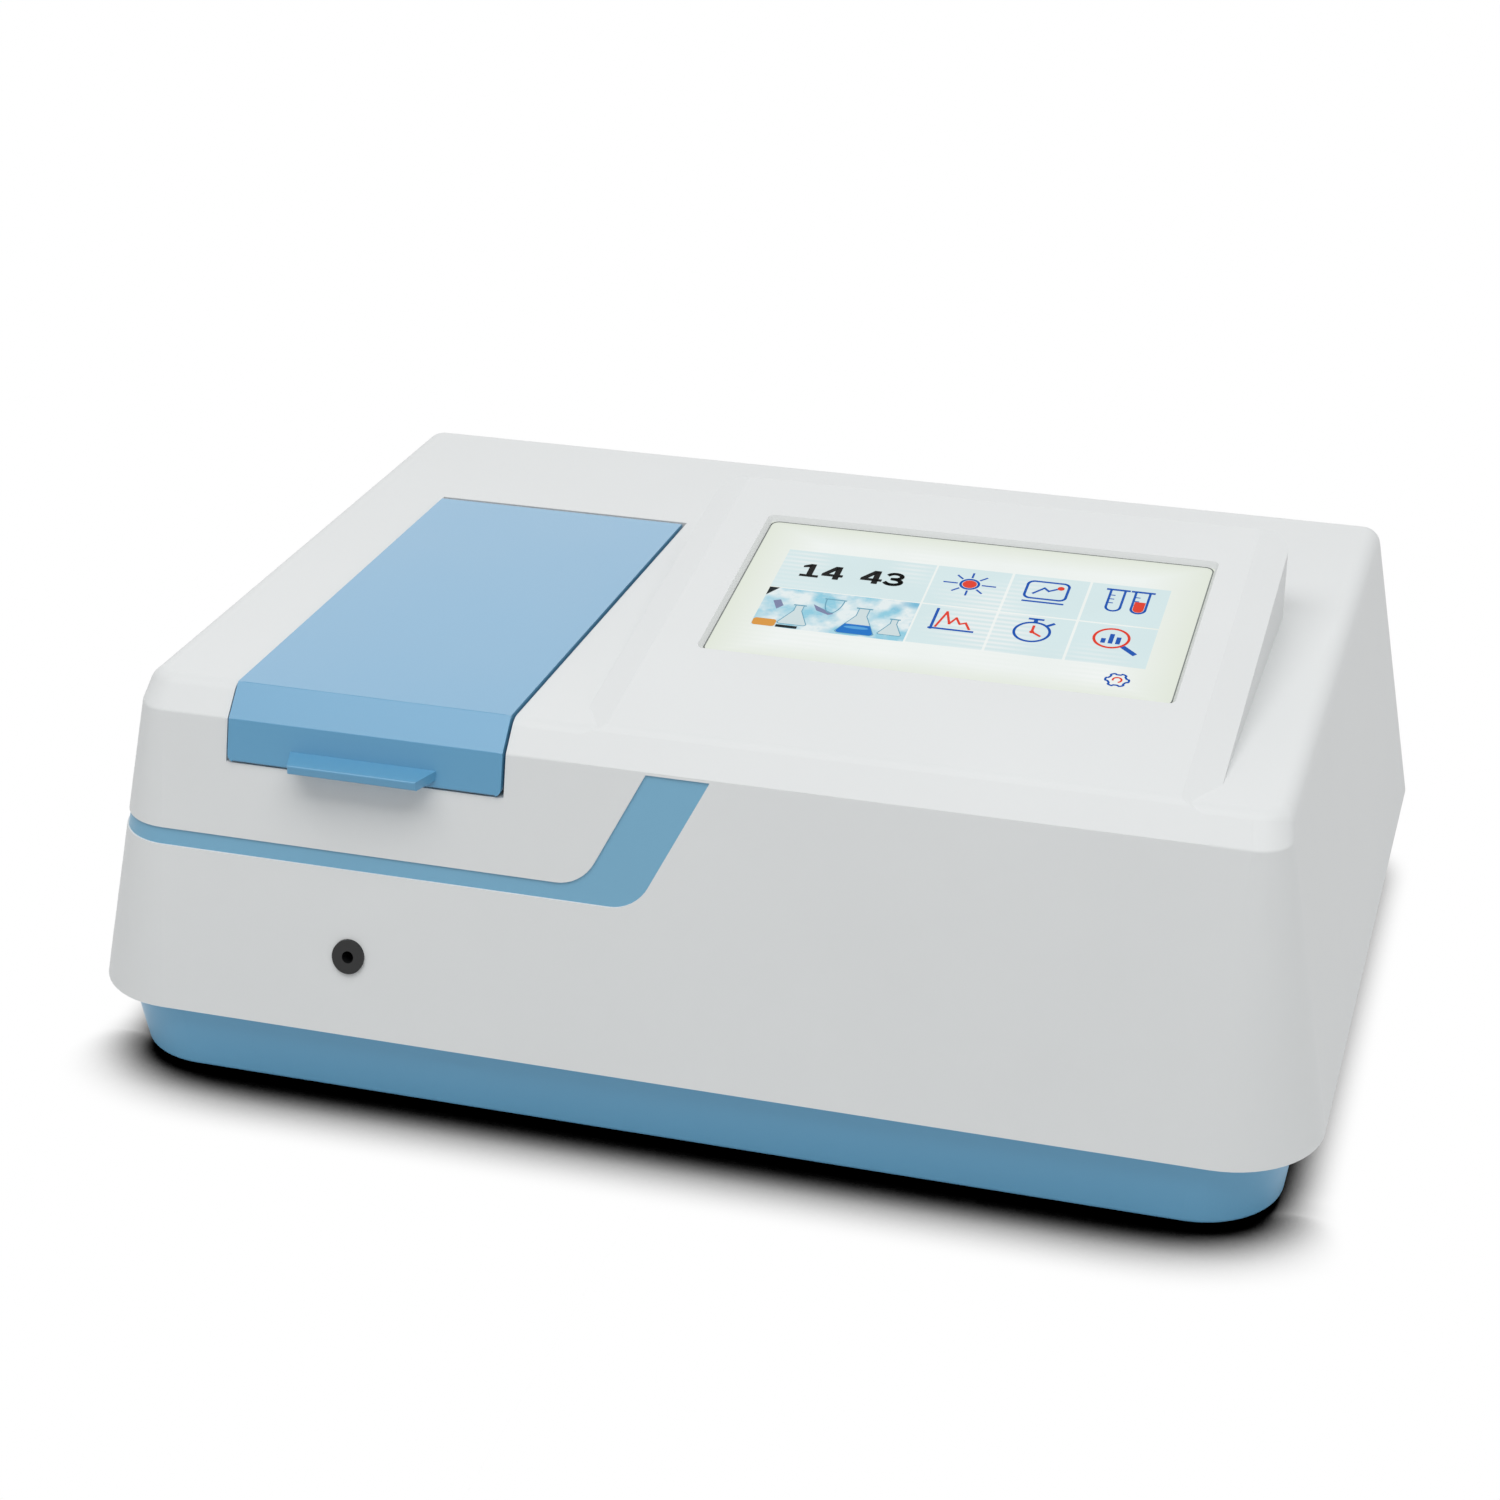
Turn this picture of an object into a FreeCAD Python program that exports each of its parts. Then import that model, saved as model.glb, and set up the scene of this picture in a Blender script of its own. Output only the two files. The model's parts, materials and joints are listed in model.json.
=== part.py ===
import FreeCAD, Part
import math
import os

Vec = FreeCAD.Vector
X_AXIS = Vec(1, 0, 0)
Y_AXIS = Vec(0, 1, 0)
Z_AXIS = Vec(0, 0, 1)

# Case: X runs to the right, Y to the back, Z up, with the origin on the floor under the middle
case_width = 590.0
case_depth = 426.0
foot_height = 6.0
base_height = 35.0
cover_height = 153.0
nose_height = 13.0
nose_depth = 12.0
side_draft = 10.0
front_draft = 13.3
rear_draft = 3.9
wall = 3.0
front_corner_low = 45.0
front_corner_high = 16.0
rear_corner = 10.0
top_edge_radius = 9.0
crease_radius = 2.5
crease_steps = 3
cover_bottom = foot_height + base_height
top_level = cover_bottom + cover_height
nose_level = top_level - nose_height

# Turned-in lip of the cover, which rests on the rim of the base
lip_width = 28.0
lip_corner = 24.0

# Blue base tray
base_side_inset = 12.0
base_end_inset = 5.0
base_draft = 7.5
base_corner = 40.0
base_rear_corner = 14.0
base_floor = 3.0
base_edge_radius = 2.5
base_boss_radius = 5.5
boss_inset = 15.0

# Rubber feet
foot_radius_top = 12.0
foot_radius_low = 10.0
foot_inset_x = 68.0
foot_inset_y = 50.0

# Raised display frame on the right of the cover
display_tilt = 9.8
display_front = -case_depth / 2 + 39.0
display_rear = case_depth / 2 - 143.0
display_left = -0.0940678 * case_width
display_right = 0.3991525 * case_width
display_corner = 16.0
display_crest_radius = 6.0
bevel_width = 15.0
bevel_drop = 5.0
window_width = display_right - display_left - 69.0
window_height = 124.0
window_bevel = 2.0
window_x = (display_left + display_right) / 2 + 3.0
window_slope = (display_rear - display_front) / math.cos(math.radians(display_tilt)) - 104.11
window_corner = 1.5

# Screen stack under the window
glass_margin = 5.0
glass_thickness = 2.0
lcd_margin = 4.0
lcd_thickness = 6.0
lcd_frame_flange = 9.0
lcd_frame_thickness = 1.2
display_boss_radius = 3.5
display_board_size = (window_width - 72.0, window_height - 40.0)
board_thickness = 1.6

# Sample compartment
well_width = 119.0
well_front = -case_depth / 2 + 53.0
well_floor = 69.0
well_wall = 2.0
well_leg = 8.0

# Sample lid
lid_width = well_width + 16.0
lid_x = -case_width / 2 + 142.5
lid_rear = case_depth / 2 - 121.2
lid_proud = 1.3
lid_wall = 2.5
lid_apron = 19.0
lid_side_gap = 1.2
lid_rear_gap = 4.0
lid_corner = 3.0
lid_rear_edge = 2.0
lid_rib = 2.5
pull_depth = 14.5
pull_thickness = 4.4
pull_drop = 11.0
pull_width_root = 73.0
pull_width_tip = 63.0

# Rabbet in the cover that the lid closes on
ledge_level = 184.0
ledge_front = -case_depth / 2 + 43.5
sill_level = nose_level - lid_apron - 1.0
seal_height = 3.0
seal_width = 4.0
rest_gap = 0.3

# Lid hinge
hinge_y = lid_rear - 5.8
hinge_z = 187.0
hinge_pin_radius = 2.0
hinge_ear_radius = 5.0
hinge_ear_width = 8.0
hinge_spread = lid_width / 2 - 15.5
hinge_plate = 3.5
hinge_side_gap = 0.5
running_fit = 0.05
trough_level = 179.0
well_rear = lid_rear - 19.8

# Blue accent band let into the front and the left side
band_height = 8.0
band_level = 118.3
band_depth = 1.5
band_recess = 0.8
band_slope_run = 0.508
band_width_up = 30.0
band_up_x = lid_x + lid_width / 2 + 68.4
band_bend = 20.0

# Front guide bushing for the cell changer rod
bushing_level = 78.6
bushing_x = lid_x - 3.2
bushing_flange_radius = 7.9
bushing_radius = 5.5
bushing_bore = 2.85
bushing_proud = 1.4

# Optical bench
bench_half_width = case_width / 2 - 33.0
bench_front = -case_depth / 2 + 88.0
bench_rear = case_depth / 2 - 29.0
bench_top = 56.0
bench_plate = 8.0
rib_depth = 10.0
rib_width = 6.0
pillar_radius = 6.0
pillar_collar = 1.5

# Lamp house
lamp_right = case_width / 2 - 37.0
lamp_left = lamp_right - 90.0
lamp_top = 158.0
lamp_sheet = 1.5
deuterium_x = lamp_right - 22.0
tungsten_x = lamp_right - 58.0
source_pivot_x = lamp_left + 12.0
source_arm = 28.0

# Monochromator
mono_right = lamp_left - 18.0
mono_rear = bench_rear - 14.0
mono_front = mono_rear - 142.0
mono_top = 160.0
mono_wall = 4.0
mono_lid = 3.0
slit_plate = 1.5
mirror_radius = 22.0
mirror_thickness = 8.0
mirror_curve = 260.0
grating_size = 30.0
grating_thickness = 6.0

# Light path
beam_level = 108.0
sample_beam_y = well_front + 75.0
reference_beam_y = mono_front - 33.0
lens_near_x = lid_x + well_width / 2 + 19.0
lens_far_x = lid_x - well_width / 2 - 16.0
detector_x = lens_far_x - 22.0
exit_x = lens_near_x + 29.0
entrance_x = mono_right - 30.0
mono_left = exit_x - 30.0
grating_x = (exit_x + entrance_x) / 2 + 2.5
grating_y = mono_front + 40.0
lamp_front = mono_front - 74.0
lamp_rear = mono_front + 34.0
tungsten_y = mono_front + 10.0
source_pivot_y = mono_front - 53.0
pillar_columns = (detector_x + 15.0, exit_x + 25.0, mono_right, bench_half_width - 17.0)
pillar_rows = (bench_front + 15.0, bench_rear - pillar_radius - pillar_collar)
cuvette_size = 12.6
cuvette_beam_height = 15.0
cell_block_x = 34.0
cell_block_y = 30.0
cell_block_top = 131.0
window_disc_radius = 10.0
window_disc_thickness = 2.0
window_hole_radius = 7.0
lens_radius = 10.0
lens_thickness = 5.0
lens_curve_radius = 30.0
detector_board_size = 32.0
detector_bracket_width = 36.0

# Wavelength drive
gear_module = 0.8
gear_teeth = 72
pinion_teeth = 12
gear_thickness = 5.0
gear_level = 60.0
gear_backlash = 0.06
pressure_angle = 20.0
shaft_radius = 4.0
drive_motor_radius = 14.0
drive_motor_height = 20.0
drive_shaft_radius = 2.0

# Filter wheel
wheel_radius = 30.0
wheel_thickness = 3.0
wheel_y = mono_front - 14.0
filter_count = 6
filter_radius = 6.0
filter_circle = 22.0

# Rear panel and what it carries, measured from the low edge of the rear wall
panel_right = case_width / 2 - 39.0
panel_left = panel_right - 196.0
panel_low = 14.0
panel_high = 108.0
panel_sheet = 1.5
panel_overlap = 6.0
fan_x = panel_left + 45.0
fan_up = 60.0
fan_size = 60.0
fan_depth = 25.0
fan_duct_radius = 28.0
fan_hub_radius = 11.0
fan_blades = 7
inlet_x = panel_right - 34.0
inlet_up = 36.0
switch_up = 76.0
ports_x = panel_left + 106.0
ports_up = 36.0

# Electronics on the floor and on the bench
main_board_left = case_width / 2 - 275.0
main_board_front = bench_front + 25.0
main_board_size = (215.0, 125.0)
board_corner = 6.0
standoff_height = 8.0
supply_size = (90.0, 87.0, 42.0)
supply_left = lamp_left - 2.0
supply_front = lamp_rear + 16.0

# Fasteners
screw_radius = 1.5
screw_head_radius = 3.0
screw_head_height = 2.0


def tan(angle):
    return math.tan(math.radians(angle))


def cos(angle):
    return math.cos(math.radians(angle))


def sin(angle):
    return math.sin(math.radians(angle))


# Small shape builders


def box(x_span, y_span, z_span):
    size = [span[1] - span[0] for span in (x_span, y_span, z_span)]
    return Part.makeBox(*size, Vec(x_span[0], y_span[0], z_span[0]))


def rod(radius, start, end):
    """Cylinder between two points."""
    along = end - start
    return Part.makeCylinder(radius, along.Length, start, along)


def ring(outer, inner, start, end):
    along = (end - start).normalize()
    return rod(outer, start, end).cut(rod(inner, start - along, end + along))


def prism(points, along):
    """Closed polygon swept along a vector."""
    return Part.Face(Part.makePolygon(points + [points[0]])).extrude(along)


def rounded_wire(half_x, front, rear, level, front_radius, rear_radius):
    """Rectangle about x = 0 at one level, its four corners rounded."""

    def corner(x, y, radius, turn):
        angles = [turn, turn + 45.0, turn + 90.0]
        points = [Vec(x + radius * cos(a), y + radius * sin(a), level) for a in angles]
        return Part.Arc(*points).toShape()

    fx = half_x - front_radius
    rx = half_x - rear_radius
    fy = front + front_radius
    ry = rear - rear_radius
    edges = [
        Part.makeLine(Vec(-fx, front, level), Vec(fx, front, level)),
        corner(fx, fy, front_radius, -90.0),
        Part.makeLine(Vec(half_x, fy, level), Vec(half_x, ry, level)),
        corner(rx, ry, rear_radius, 0.0),
        Part.makeLine(Vec(rx, rear, level), Vec(-rx, rear, level)),
        corner(-rx, ry, rear_radius, 90.0),
        Part.makeLine(Vec(-half_x, ry, level), Vec(-half_x, fy, level)),
        corner(-fx, fy, front_radius, 180.0),
    ]
    return Part.Wire(edges)


def drafted_solid(wires):
    """Solid through outlines at rising levels: flat walls, with ruled faces at the rounded corners."""
    faces = [Part.Face(wires[0]), Part.Face(wires[-1])]
    for low_wire, high_wire in zip(wires, wires[1:]):
        for low, high in zip(low_wire.OrderedEdges, high_wire.OrderedEdges):
            if isinstance(low.Curve, Part.Line):
                a, b = low.firstVertex(True).Point, low.lastVertex(True).Point
                c, d = high.firstVertex(True).Point, high.lastVertex(True).Point
                faces.append(Part.Face(Part.makePolygon([a, b, d, c, a])))
            else:
                faces.append(Part.makeRuledSurface(low, high))
    shell = Part.makeShell(faces)
    shell.sewShape()
    return Part.makeSolid(shell).removeSplitter()


def rounded_box(width, depth, radius, centre, z_span):
    """Upright block with rounded corners in plan."""
    wire = rounded_wire(width / 2, -depth / 2, depth / 2, z_span[0], radius, radius)
    solid = Part.Face(wire).extrude(Vec(0, 0, z_span[1] - z_span[0]))
    solid.translate(Vec(centre[0], centre[1], 0))
    return solid


def rounded_path(points, radii):
    """Closed outline through points, with an arc of the given radius at each."""
    corners = []
    for index, point in enumerate(points):
        radius = radii[index]
        if radius <= 0:
            corners.append((point, None, point))
            continue
        back = (points[index - 1] - point).normalize()
        ahead = (points[(index + 1) % len(points)] - point).normalize()
        half = back.getAngle(ahead) / 2
        middle = (back + ahead).normalize()
        centre = point + middle * (radius / math.sin(half))
        reach = radius / math.tan(half)
        corners.append((point + back * reach, centre - middle * radius, point + ahead * reach))
    edges = []
    for index, corner in enumerate(corners):
        follower = corners[(index + 1) % len(corners)]
        if corner[1] is not None:
            edges.append(Part.Arc(*corner).toShape())
        if corner[2].distanceToPoint(follower[0]) > 1e-6:
            edges.append(Part.makeLine(corner[2], follower[0]))
    return Part.Wire(edges)


def meet(first, second):
    """Point where two lines in a plane cross, each given as (point, direction)."""
    (ax, ay), (adx, ady) = first
    (bx, by), (bdx, bdy) = second
    along = ((bx - ax) * bdy - (by - ay) * bdx) / (adx * bdy - ady * bdx)
    return (ax + adx * along, ay + ady * along)


def moved_out(point, direction, grow):
    """Line of a clockwise outline, moved outward by grow."""
    length = math.hypot(*direction)
    out = (-direction[1] / length, direction[0] / length)
    return ((point[0] + out[0] * grow, point[1] + out[1] * grow), direction)


def screw(at, along, length):
    """Pan head screw: the head stands above at, the shank runs along."""
    along = Vec(along).normalize()
    head = rod(screw_head_radius, at - along * screw_head_height, at)
    return head.fuse(rod(screw_radius, at, at + along * length))


def group(solids):
    return Part.makeCompound(solids)


def turned(shape, centre, axis, angle):
    copy = shape.copy()
    copy.rotate(centre, axis, angle)
    return copy


# Form of the case, shared by the cover, the lid, the band and the bushing


def case_lines(grow):
    """Front, nose, top and rear lines of the side view, moved outward by grow."""
    nose_y = -case_depth / 2 + (nose_level - cover_bottom) * tan(front_draft)
    return [
        moved_out((-case_depth / 2, cover_bottom), (tan(front_draft), 1.0), grow),
        moved_out((nose_y, nose_level), (nose_depth, nose_height), grow),
        moved_out((0.0, top_level), (1.0, 0.0), grow),
        moved_out((case_depth / 2, cover_bottom), (tan(rear_draft), -1.0), grow),
    ]


def level_line(level):
    return ((0.0, level), (1.0, 0.0))


def side_x(level, grow):
    """Half width of the case at a level."""
    return case_width / 2 + grow / cos(side_draft) - (level - cover_bottom) * tan(side_draft)


def front_y(level, grow=0.0):
    return meet(case_lines(grow)[0], level_line(level))[0]


def rear_y(level, grow=0.0):
    return meet(case_lines(grow)[3], level_line(level))[0]


def crease_arc(crease, radius):
    """Side view of the small rounding between the front and the nose, as a few points up its arc."""
    nose_lean = math.degrees(math.atan2(nose_depth, nose_height))
    middle = (front_draft + nose_lean) / 2
    reach = radius / cos(nose_lean - middle)
    centre = (crease[0] + reach * cos(middle), crease[1] - reach * sin(middle))
    leans = [front_draft + (nose_lean - front_draft) * i / crease_steps for i in range(crease_steps + 1)]
    return [(centre[0] - radius * cos(a), centre[1] + radius * sin(a)) for a in leans]


def case_form(grow, low):
    """Solid of the case between a low level and the top, every wall moved outward by grow."""
    front, nose, top, _ = case_lines(grow)
    brow = meet(nose, top)
    stations = [(front_y(low, grow), low, front_corner_low)]
    for y, z in crease_arc(meet(front, nose), max(crease_radius + grow, 0.5)):
        stations.append((y, z, front_corner_high))
    stations.append((*brow, front_corner_high))
    wires = [
        rounded_wire(side_x(z, grow), y, rear_y(z, grow), z, radius + grow, rear_corner + grow)
        for y, z, radius in stations
    ]
    solid = drafted_solid(wires)
    rim = [e for e in solid.Edges if all(abs(v.Z - brow[1]) < 1e-4 for v in e.Vertexes)]
    return solid.makeFillet(top_edge_radius + grow, rim)


# Raised display frame. On it, local X is across, Y up the slope and Z out of the panel


def on_display(shape):
    copy = shape.copy()
    copy.rotate(Vec(0, 0, 0), X_AXIS, display_tilt)
    copy.translate(Vec(0, display_front, top_level))
    return copy


def display_block(grow, low):
    """Wedge of the display frame down to a low level, its walls moved outward by grow."""
    slope = moved_out((display_front, top_level), (1.0, tan(display_tilt)), grow)
    nose = case_lines(grow)[1]
    rear = ((display_rear + grow, 0.0), (0.0, 1.0))
    start = meet(slope, nose)
    crest = meet(slope, rear)
    outline = [meet(nose, level_line(low)), start, crest, (display_rear + grow, low)]
    radii = [0.0, top_edge_radius + grow, display_crest_radius + grow, 0.0]
    left = display_left - grow
    right = display_right + grow
    side_view = rounded_path([Vec(left, y, z) for y, z in outline], radii)
    wedge = Part.Face(side_view).extrude(Vec(right - left, 0, 0))
    front = start[0] - display_corner
    plan = [Vec(left, front, low), Vec(right, front, low), Vec(right, rear[0][0], low), Vec(left, rear[0][0], low)]
    corner = display_corner + grow
    column = Part.Face(rounded_path(plan, [0.0, 0.0, corner, corner])).extrude(Vec(0, 0, top_level))
    wedge = wedge.common(column)
    fall = bevel_drop / bevel_width
    lift = grow * math.hypot(1.0, fall)
    reach = bevel_width * 2
    for side, edge in ((-1, display_left), (1, display_right)):
        inner = edge - side * bevel_width
        points = [
            Vec(inner - side * reach, -reach, lift + reach * fall),
            Vec(inner + side * reach, -reach, lift - reach * fall),
            Vec(inner + side * reach, -reach, lift + reach),
            Vec(inner - side * reach, -reach, lift + reach),
        ]
        bevel = prism(points, Vec(0, case_depth, 0))
        wedge = wedge.cut(on_display(bevel))
    return wedge


def window_wire(margin, level):
    half_x = window_width / 2 + margin
    half_y = window_height / 2 + margin
    radius = window_corner + max(margin, 0.0)
    wire = rounded_wire(half_x, -half_y, half_y, level, radius, radius)
    wire.translate(Vec(window_x, window_slope, 0))
    return wire


def window_plate(margin, z_span):
    plate = Part.Face(window_wire(margin, z_span[0])).extrude(Vec(0, 0, z_span[1] - z_span[0]))
    return on_display(plate)


def display_boss_places():
    half_x = window_width / 2 + lcd_margin + lcd_frame_flange / 2
    half_y = window_height / 2 - window_corner * 4
    return [Vec(window_x + i * half_x, window_slope + j * half_y, 0) for i in (-1, 1) for j in (-1, 0, 1)]


# Levels of the screen stack below the panel
glass_low = -wall - glass_thickness
lcd_low = glass_low - lcd_thickness
frame_low = lcd_low - lcd_frame_thickness
display_standoff = 5.0
board_top = frame_low - display_standoff
board_low = board_top - board_thickness


# Lid opening, worked out from the lid and its gaps
opening_half = lid_width / 2 + lid_side_gap
opening_rear = lid_rear + lid_rear_gap
well_half = well_width / 2
well_hole_half = well_half + well_wall + rest_gap
well_hole_front = well_front - well_wall - rest_gap
well_hole_rear = well_rear + well_wall + rest_gap
trough_front = well_hole_rear + seal_width + 0.5


def lid_rabbet():
    """Walls and ledge round the lid opening, inside the cover."""
    half = opening_half + wall
    span = (lid_x - half, lid_x + half)
    rear_part = box(span, (ledge_front, opening_rear + wall), (ledge_level - wall, top_level + wall))
    trough = box((lid_x - opening_half - wall, lid_x + opening_half + wall), (trough_front - wall, opening_rear + wall),
                 (trough_level - wall, ledge_level))
    front_part = box(span, (-case_depth, well_hole_front), (sill_level - wall, top_level + wall))
    return rear_part.multiFuse([trough, front_part])


def lid_cutter():
    span = (lid_x - opening_half, lid_x + opening_half)
    high = top_level + 4 * wall
    recess = box(span, (-case_depth, opening_rear), (ledge_level, high))
    notch = box(span, (-case_depth, ledge_front), (sill_level, high))
    trough = box((lid_x - opening_half, lid_x + opening_half), (trough_front, opening_rear), (trough_level, high))
    hole = box((lid_x - well_hole_half, lid_x + well_hole_half), (well_hole_front, well_hole_rear),
               (cover_bottom, high))
    return recess.multiFuse([notch, trough, hole])


# Accent band


def band_face_cutter(margin):
    """Sheet across the front and left side that holds the band's outline."""
    low = band_level - margin
    high = band_level + band_height + margin
    far = top_level + 4 * wall
    run = band_slope_run
    slant_left = band_up_x - margin
    slant_right = band_up_x + band_width_up + margin
    bend_left = slant_left - (nose_level - high) * run
    bend_right = slant_right - (nose_level - low) * run
    points = [
        (-case_width, low),
        (bend_right, low),
        (slant_right + (far - nose_level) * run, far),
        (slant_left + (far - nose_level) * run, far),
        (bend_left, high),
        (-case_width, high),
    ]
    radii = [0.0, band_bend, 0.0, 0.0, band_bend, 0.0]
    outline = rounded_path([Vec(x, -case_depth, z) for x, z in points], radii)
    reach = case_depth + rear_y(band_level) - rear_corner * 2
    sheet = Part.Face(outline).extrude(Vec(0, reach, 0))
    crease = meet(case_lines(0.0)[0], case_lines(0.0)[1])[1]
    under_crease = box((-case_width, case_width), (-case_depth, case_depth), (0, crease - crease_radius * 0.5))
    front_or_left = box((-case_width, case_width), (-case_depth, -case_depth / 2 + nose_depth * 4), (0, far))
    left_side = box((-case_width, -case_width / 4), (-case_depth, case_depth), (0, far))
    return sheet.common(under_crease).common(front_or_left.fuse(left_side))


def band_groove():
    shell = case_form(wall, cover_bottom).cut(case_form(-band_depth, cover_bottom - wall))
    return shell.common(band_face_cutter(0.0))


def accent_band():
    shell = case_form(-band_recess, cover_bottom).cut(case_form(-band_depth, cover_bottom - wall))
    return shell.common(band_face_cutter(0.0))


# Casing


def boss_places():
    """Screw places round the rim, where the base bosses meet the cover's lip."""
    x = case_width / 2 - base_side_inset - boss_inset
    y = case_depth / 2 - base_end_inset - boss_inset
    sides = [(i * x, j * y * 0.7) for i in (-1, 1) for j in (-1, 0, 1)]
    ends = [(i * x * 0.45, j * y) for i in (-1, 1) for j in (-1, 1)]
    return sides + ends


def bushing_hole(radius):
    return rod(radius, Vec(bushing_x, -case_depth, bushing_level), Vec(bushing_x, well_front + wall, bushing_level))


def top_cover():
    shell = case_form(0.0, cover_bottom).fuse(display_block(0.0, nose_level))
    cavity = case_form(-wall, cover_bottom + wall).fuse(display_block(-wall, nose_level))
    shell = shell.cut(cavity)
    shell = shell.fuse(lid_rabbet().common(case_form(-wall / 2, cover_bottom)))
    shell = shell.cut(lid_cutter())
    mouth = rounded_box(case_width - 2 * lip_width, case_depth - 2 * lip_width, lip_corner, (0, 0),
                        (0, cover_bottom + 2 * wall))
    shell = shell.cut(mouth)
    window = Part.makeLoft([window_wire(window_bevel, 0.5), window_wire(0.0, -wall)], True, True)
    below = Part.Face(window_wire(0.0, -2 * wall)).extrude(Vec(0, 0, wall))
    above = Part.Face(window_wire(window_bevel, 0.5)).extrude(Vec(0, 0, 2 * wall))
    for part in (window, below, above):
        shell = shell.cut(on_display(part))
    shell = shell.cut(band_groove())
    shell = shell.cut(bushing_hole(bushing_radius + running_fit))
    opening = box((panel_left, panel_right), (-2 * wall, 2 * wall), (panel_low, panel_high))
    shell = shell.cut(on_rear(opening))
    holes = [rod(screw_radius + running_fit, Vec(x, -2 * wall, up), Vec(x, -0.5, up)) for x, up in panel_screw_places()]
    for hole in holes:
        shell = shell.cut(on_rear(hole))
    bosses = []
    for place in display_boss_places():
        boss = rod(display_boss_radius, place + Vec(0, 0, lcd_low), place + Vec(0, 0, -wall / 2))
        pilot = rod(screw_radius + running_fit, place + Vec(0, 0, lcd_low - 1), place + Vec(0, 0, lcd_low + 5))
        bosses.append(on_display(boss.cut(pilot)))
    shell = shell.multiFuse(bosses)
    for x, y in boss_places():
        pilot = rod(screw_radius + running_fit, Vec(x, y, 0), Vec(x, y, cover_bottom + 2 * wall))
        shell = shell.cut(pilot)
    return shell


def base_form(grow, low, high):
    def station(level):
        rise = (level - cover_bottom) * tan(base_draft) + grow
        half_x = case_width / 2 - base_side_inset + rise
        half_y = case_depth / 2 - base_end_inset + rise
        return rounded_wire(half_x, -half_y, half_y, level, base_corner + grow, base_rear_corner + grow)

    return drafted_solid([station(low), station(high)])


def base_tray():
    outer = base_form(0.0, foot_height, cover_bottom)
    rim = [e for e in outer.Edges if all(abs(v.Z - foot_height) < 1e-4 for v in e.Vertexes)]
    outer = outer.makeFillet(base_edge_radius, rim)
    floor = foot_height + base_floor
    tray = outer.cut(base_form(-wall, floor, cover_bottom + wall))
    bosses = [rod(base_boss_radius, Vec(x, y, foot_height), Vec(x, y, cover_bottom)) for x, y in boss_places()]
    tray = tray.multiFuse([boss.common(base_form(0.0, foot_height + 0.01, cover_bottom)) for boss in bosses])
    for x, y in boss_places():
        seat = cover_bottom - wall * 2
        bore = rod(screw_head_radius + 0.5, Vec(x, y, 0), Vec(x, y, seat))
        tray = tray.cut(bore.fuse(rod(screw_radius + running_fit, Vec(x, y, 0), Vec(x, y, cover_bottom + wall))))
    for x, y in foot_places():
        tray = tray.cut(rod(screw_radius + running_fit, Vec(x, y, 0), Vec(x, y, floor + wall)))
    vents = []
    for row in range(-4, 5):
        x = (lamp_left + lamp_right) / 2
        y = (lamp_front + lamp_rear) / 2 + row * 10.0
        vents.append(box((x - 35.0, x + 35.0), (y - 2.0, y + 2.0), (0, floor + wall)))
    return tray.cut(group(vents)).removeSplitter()


def foot_places():
    x = case_width / 2 - foot_inset_x
    y = case_depth / 2 - foot_inset_y
    return [(i * x, j * y) for i in (-1, 1) for j in (-1, 1)]


def rubber_feet():
    feet = []
    for x, y in foot_places():
        foot = Part.makeCone(foot_radius_low, foot_radius_top, foot_height, Vec(x, y, 0))
        recess = rod(screw_head_radius + 1.0, Vec(x, y, -1), Vec(x, y, foot_height / 2))
        feet.append(foot.cut(recess).cut(rod(screw_radius + running_fit, Vec(x, y, 0), Vec(x, y, foot_height))))
    return group(feet)


def foot_screws():
    length = foot_height / 2 + base_floor + 2.0
    return [screw(Vec(x, y, foot_height / 2), Z_AXIS, length) for x, y in foot_places()]


def cover_screws():
    seat = cover_bottom - wall * 2
    return [screw(Vec(x, y, seat), Z_AXIS, 3 * wall - 0.6) for x, y in boss_places()]


def case_screws():
    return group(foot_screws() + cover_screws() + display_screws() + panel_screws() + fan_screws())


# Sample lid and its hinge


def hinge_places():
    return [lid_x - hinge_spread, lid_x + hinge_spread]


def hinge_point(x):
    return Vec(x, hinge_y, hinge_z)


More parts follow.
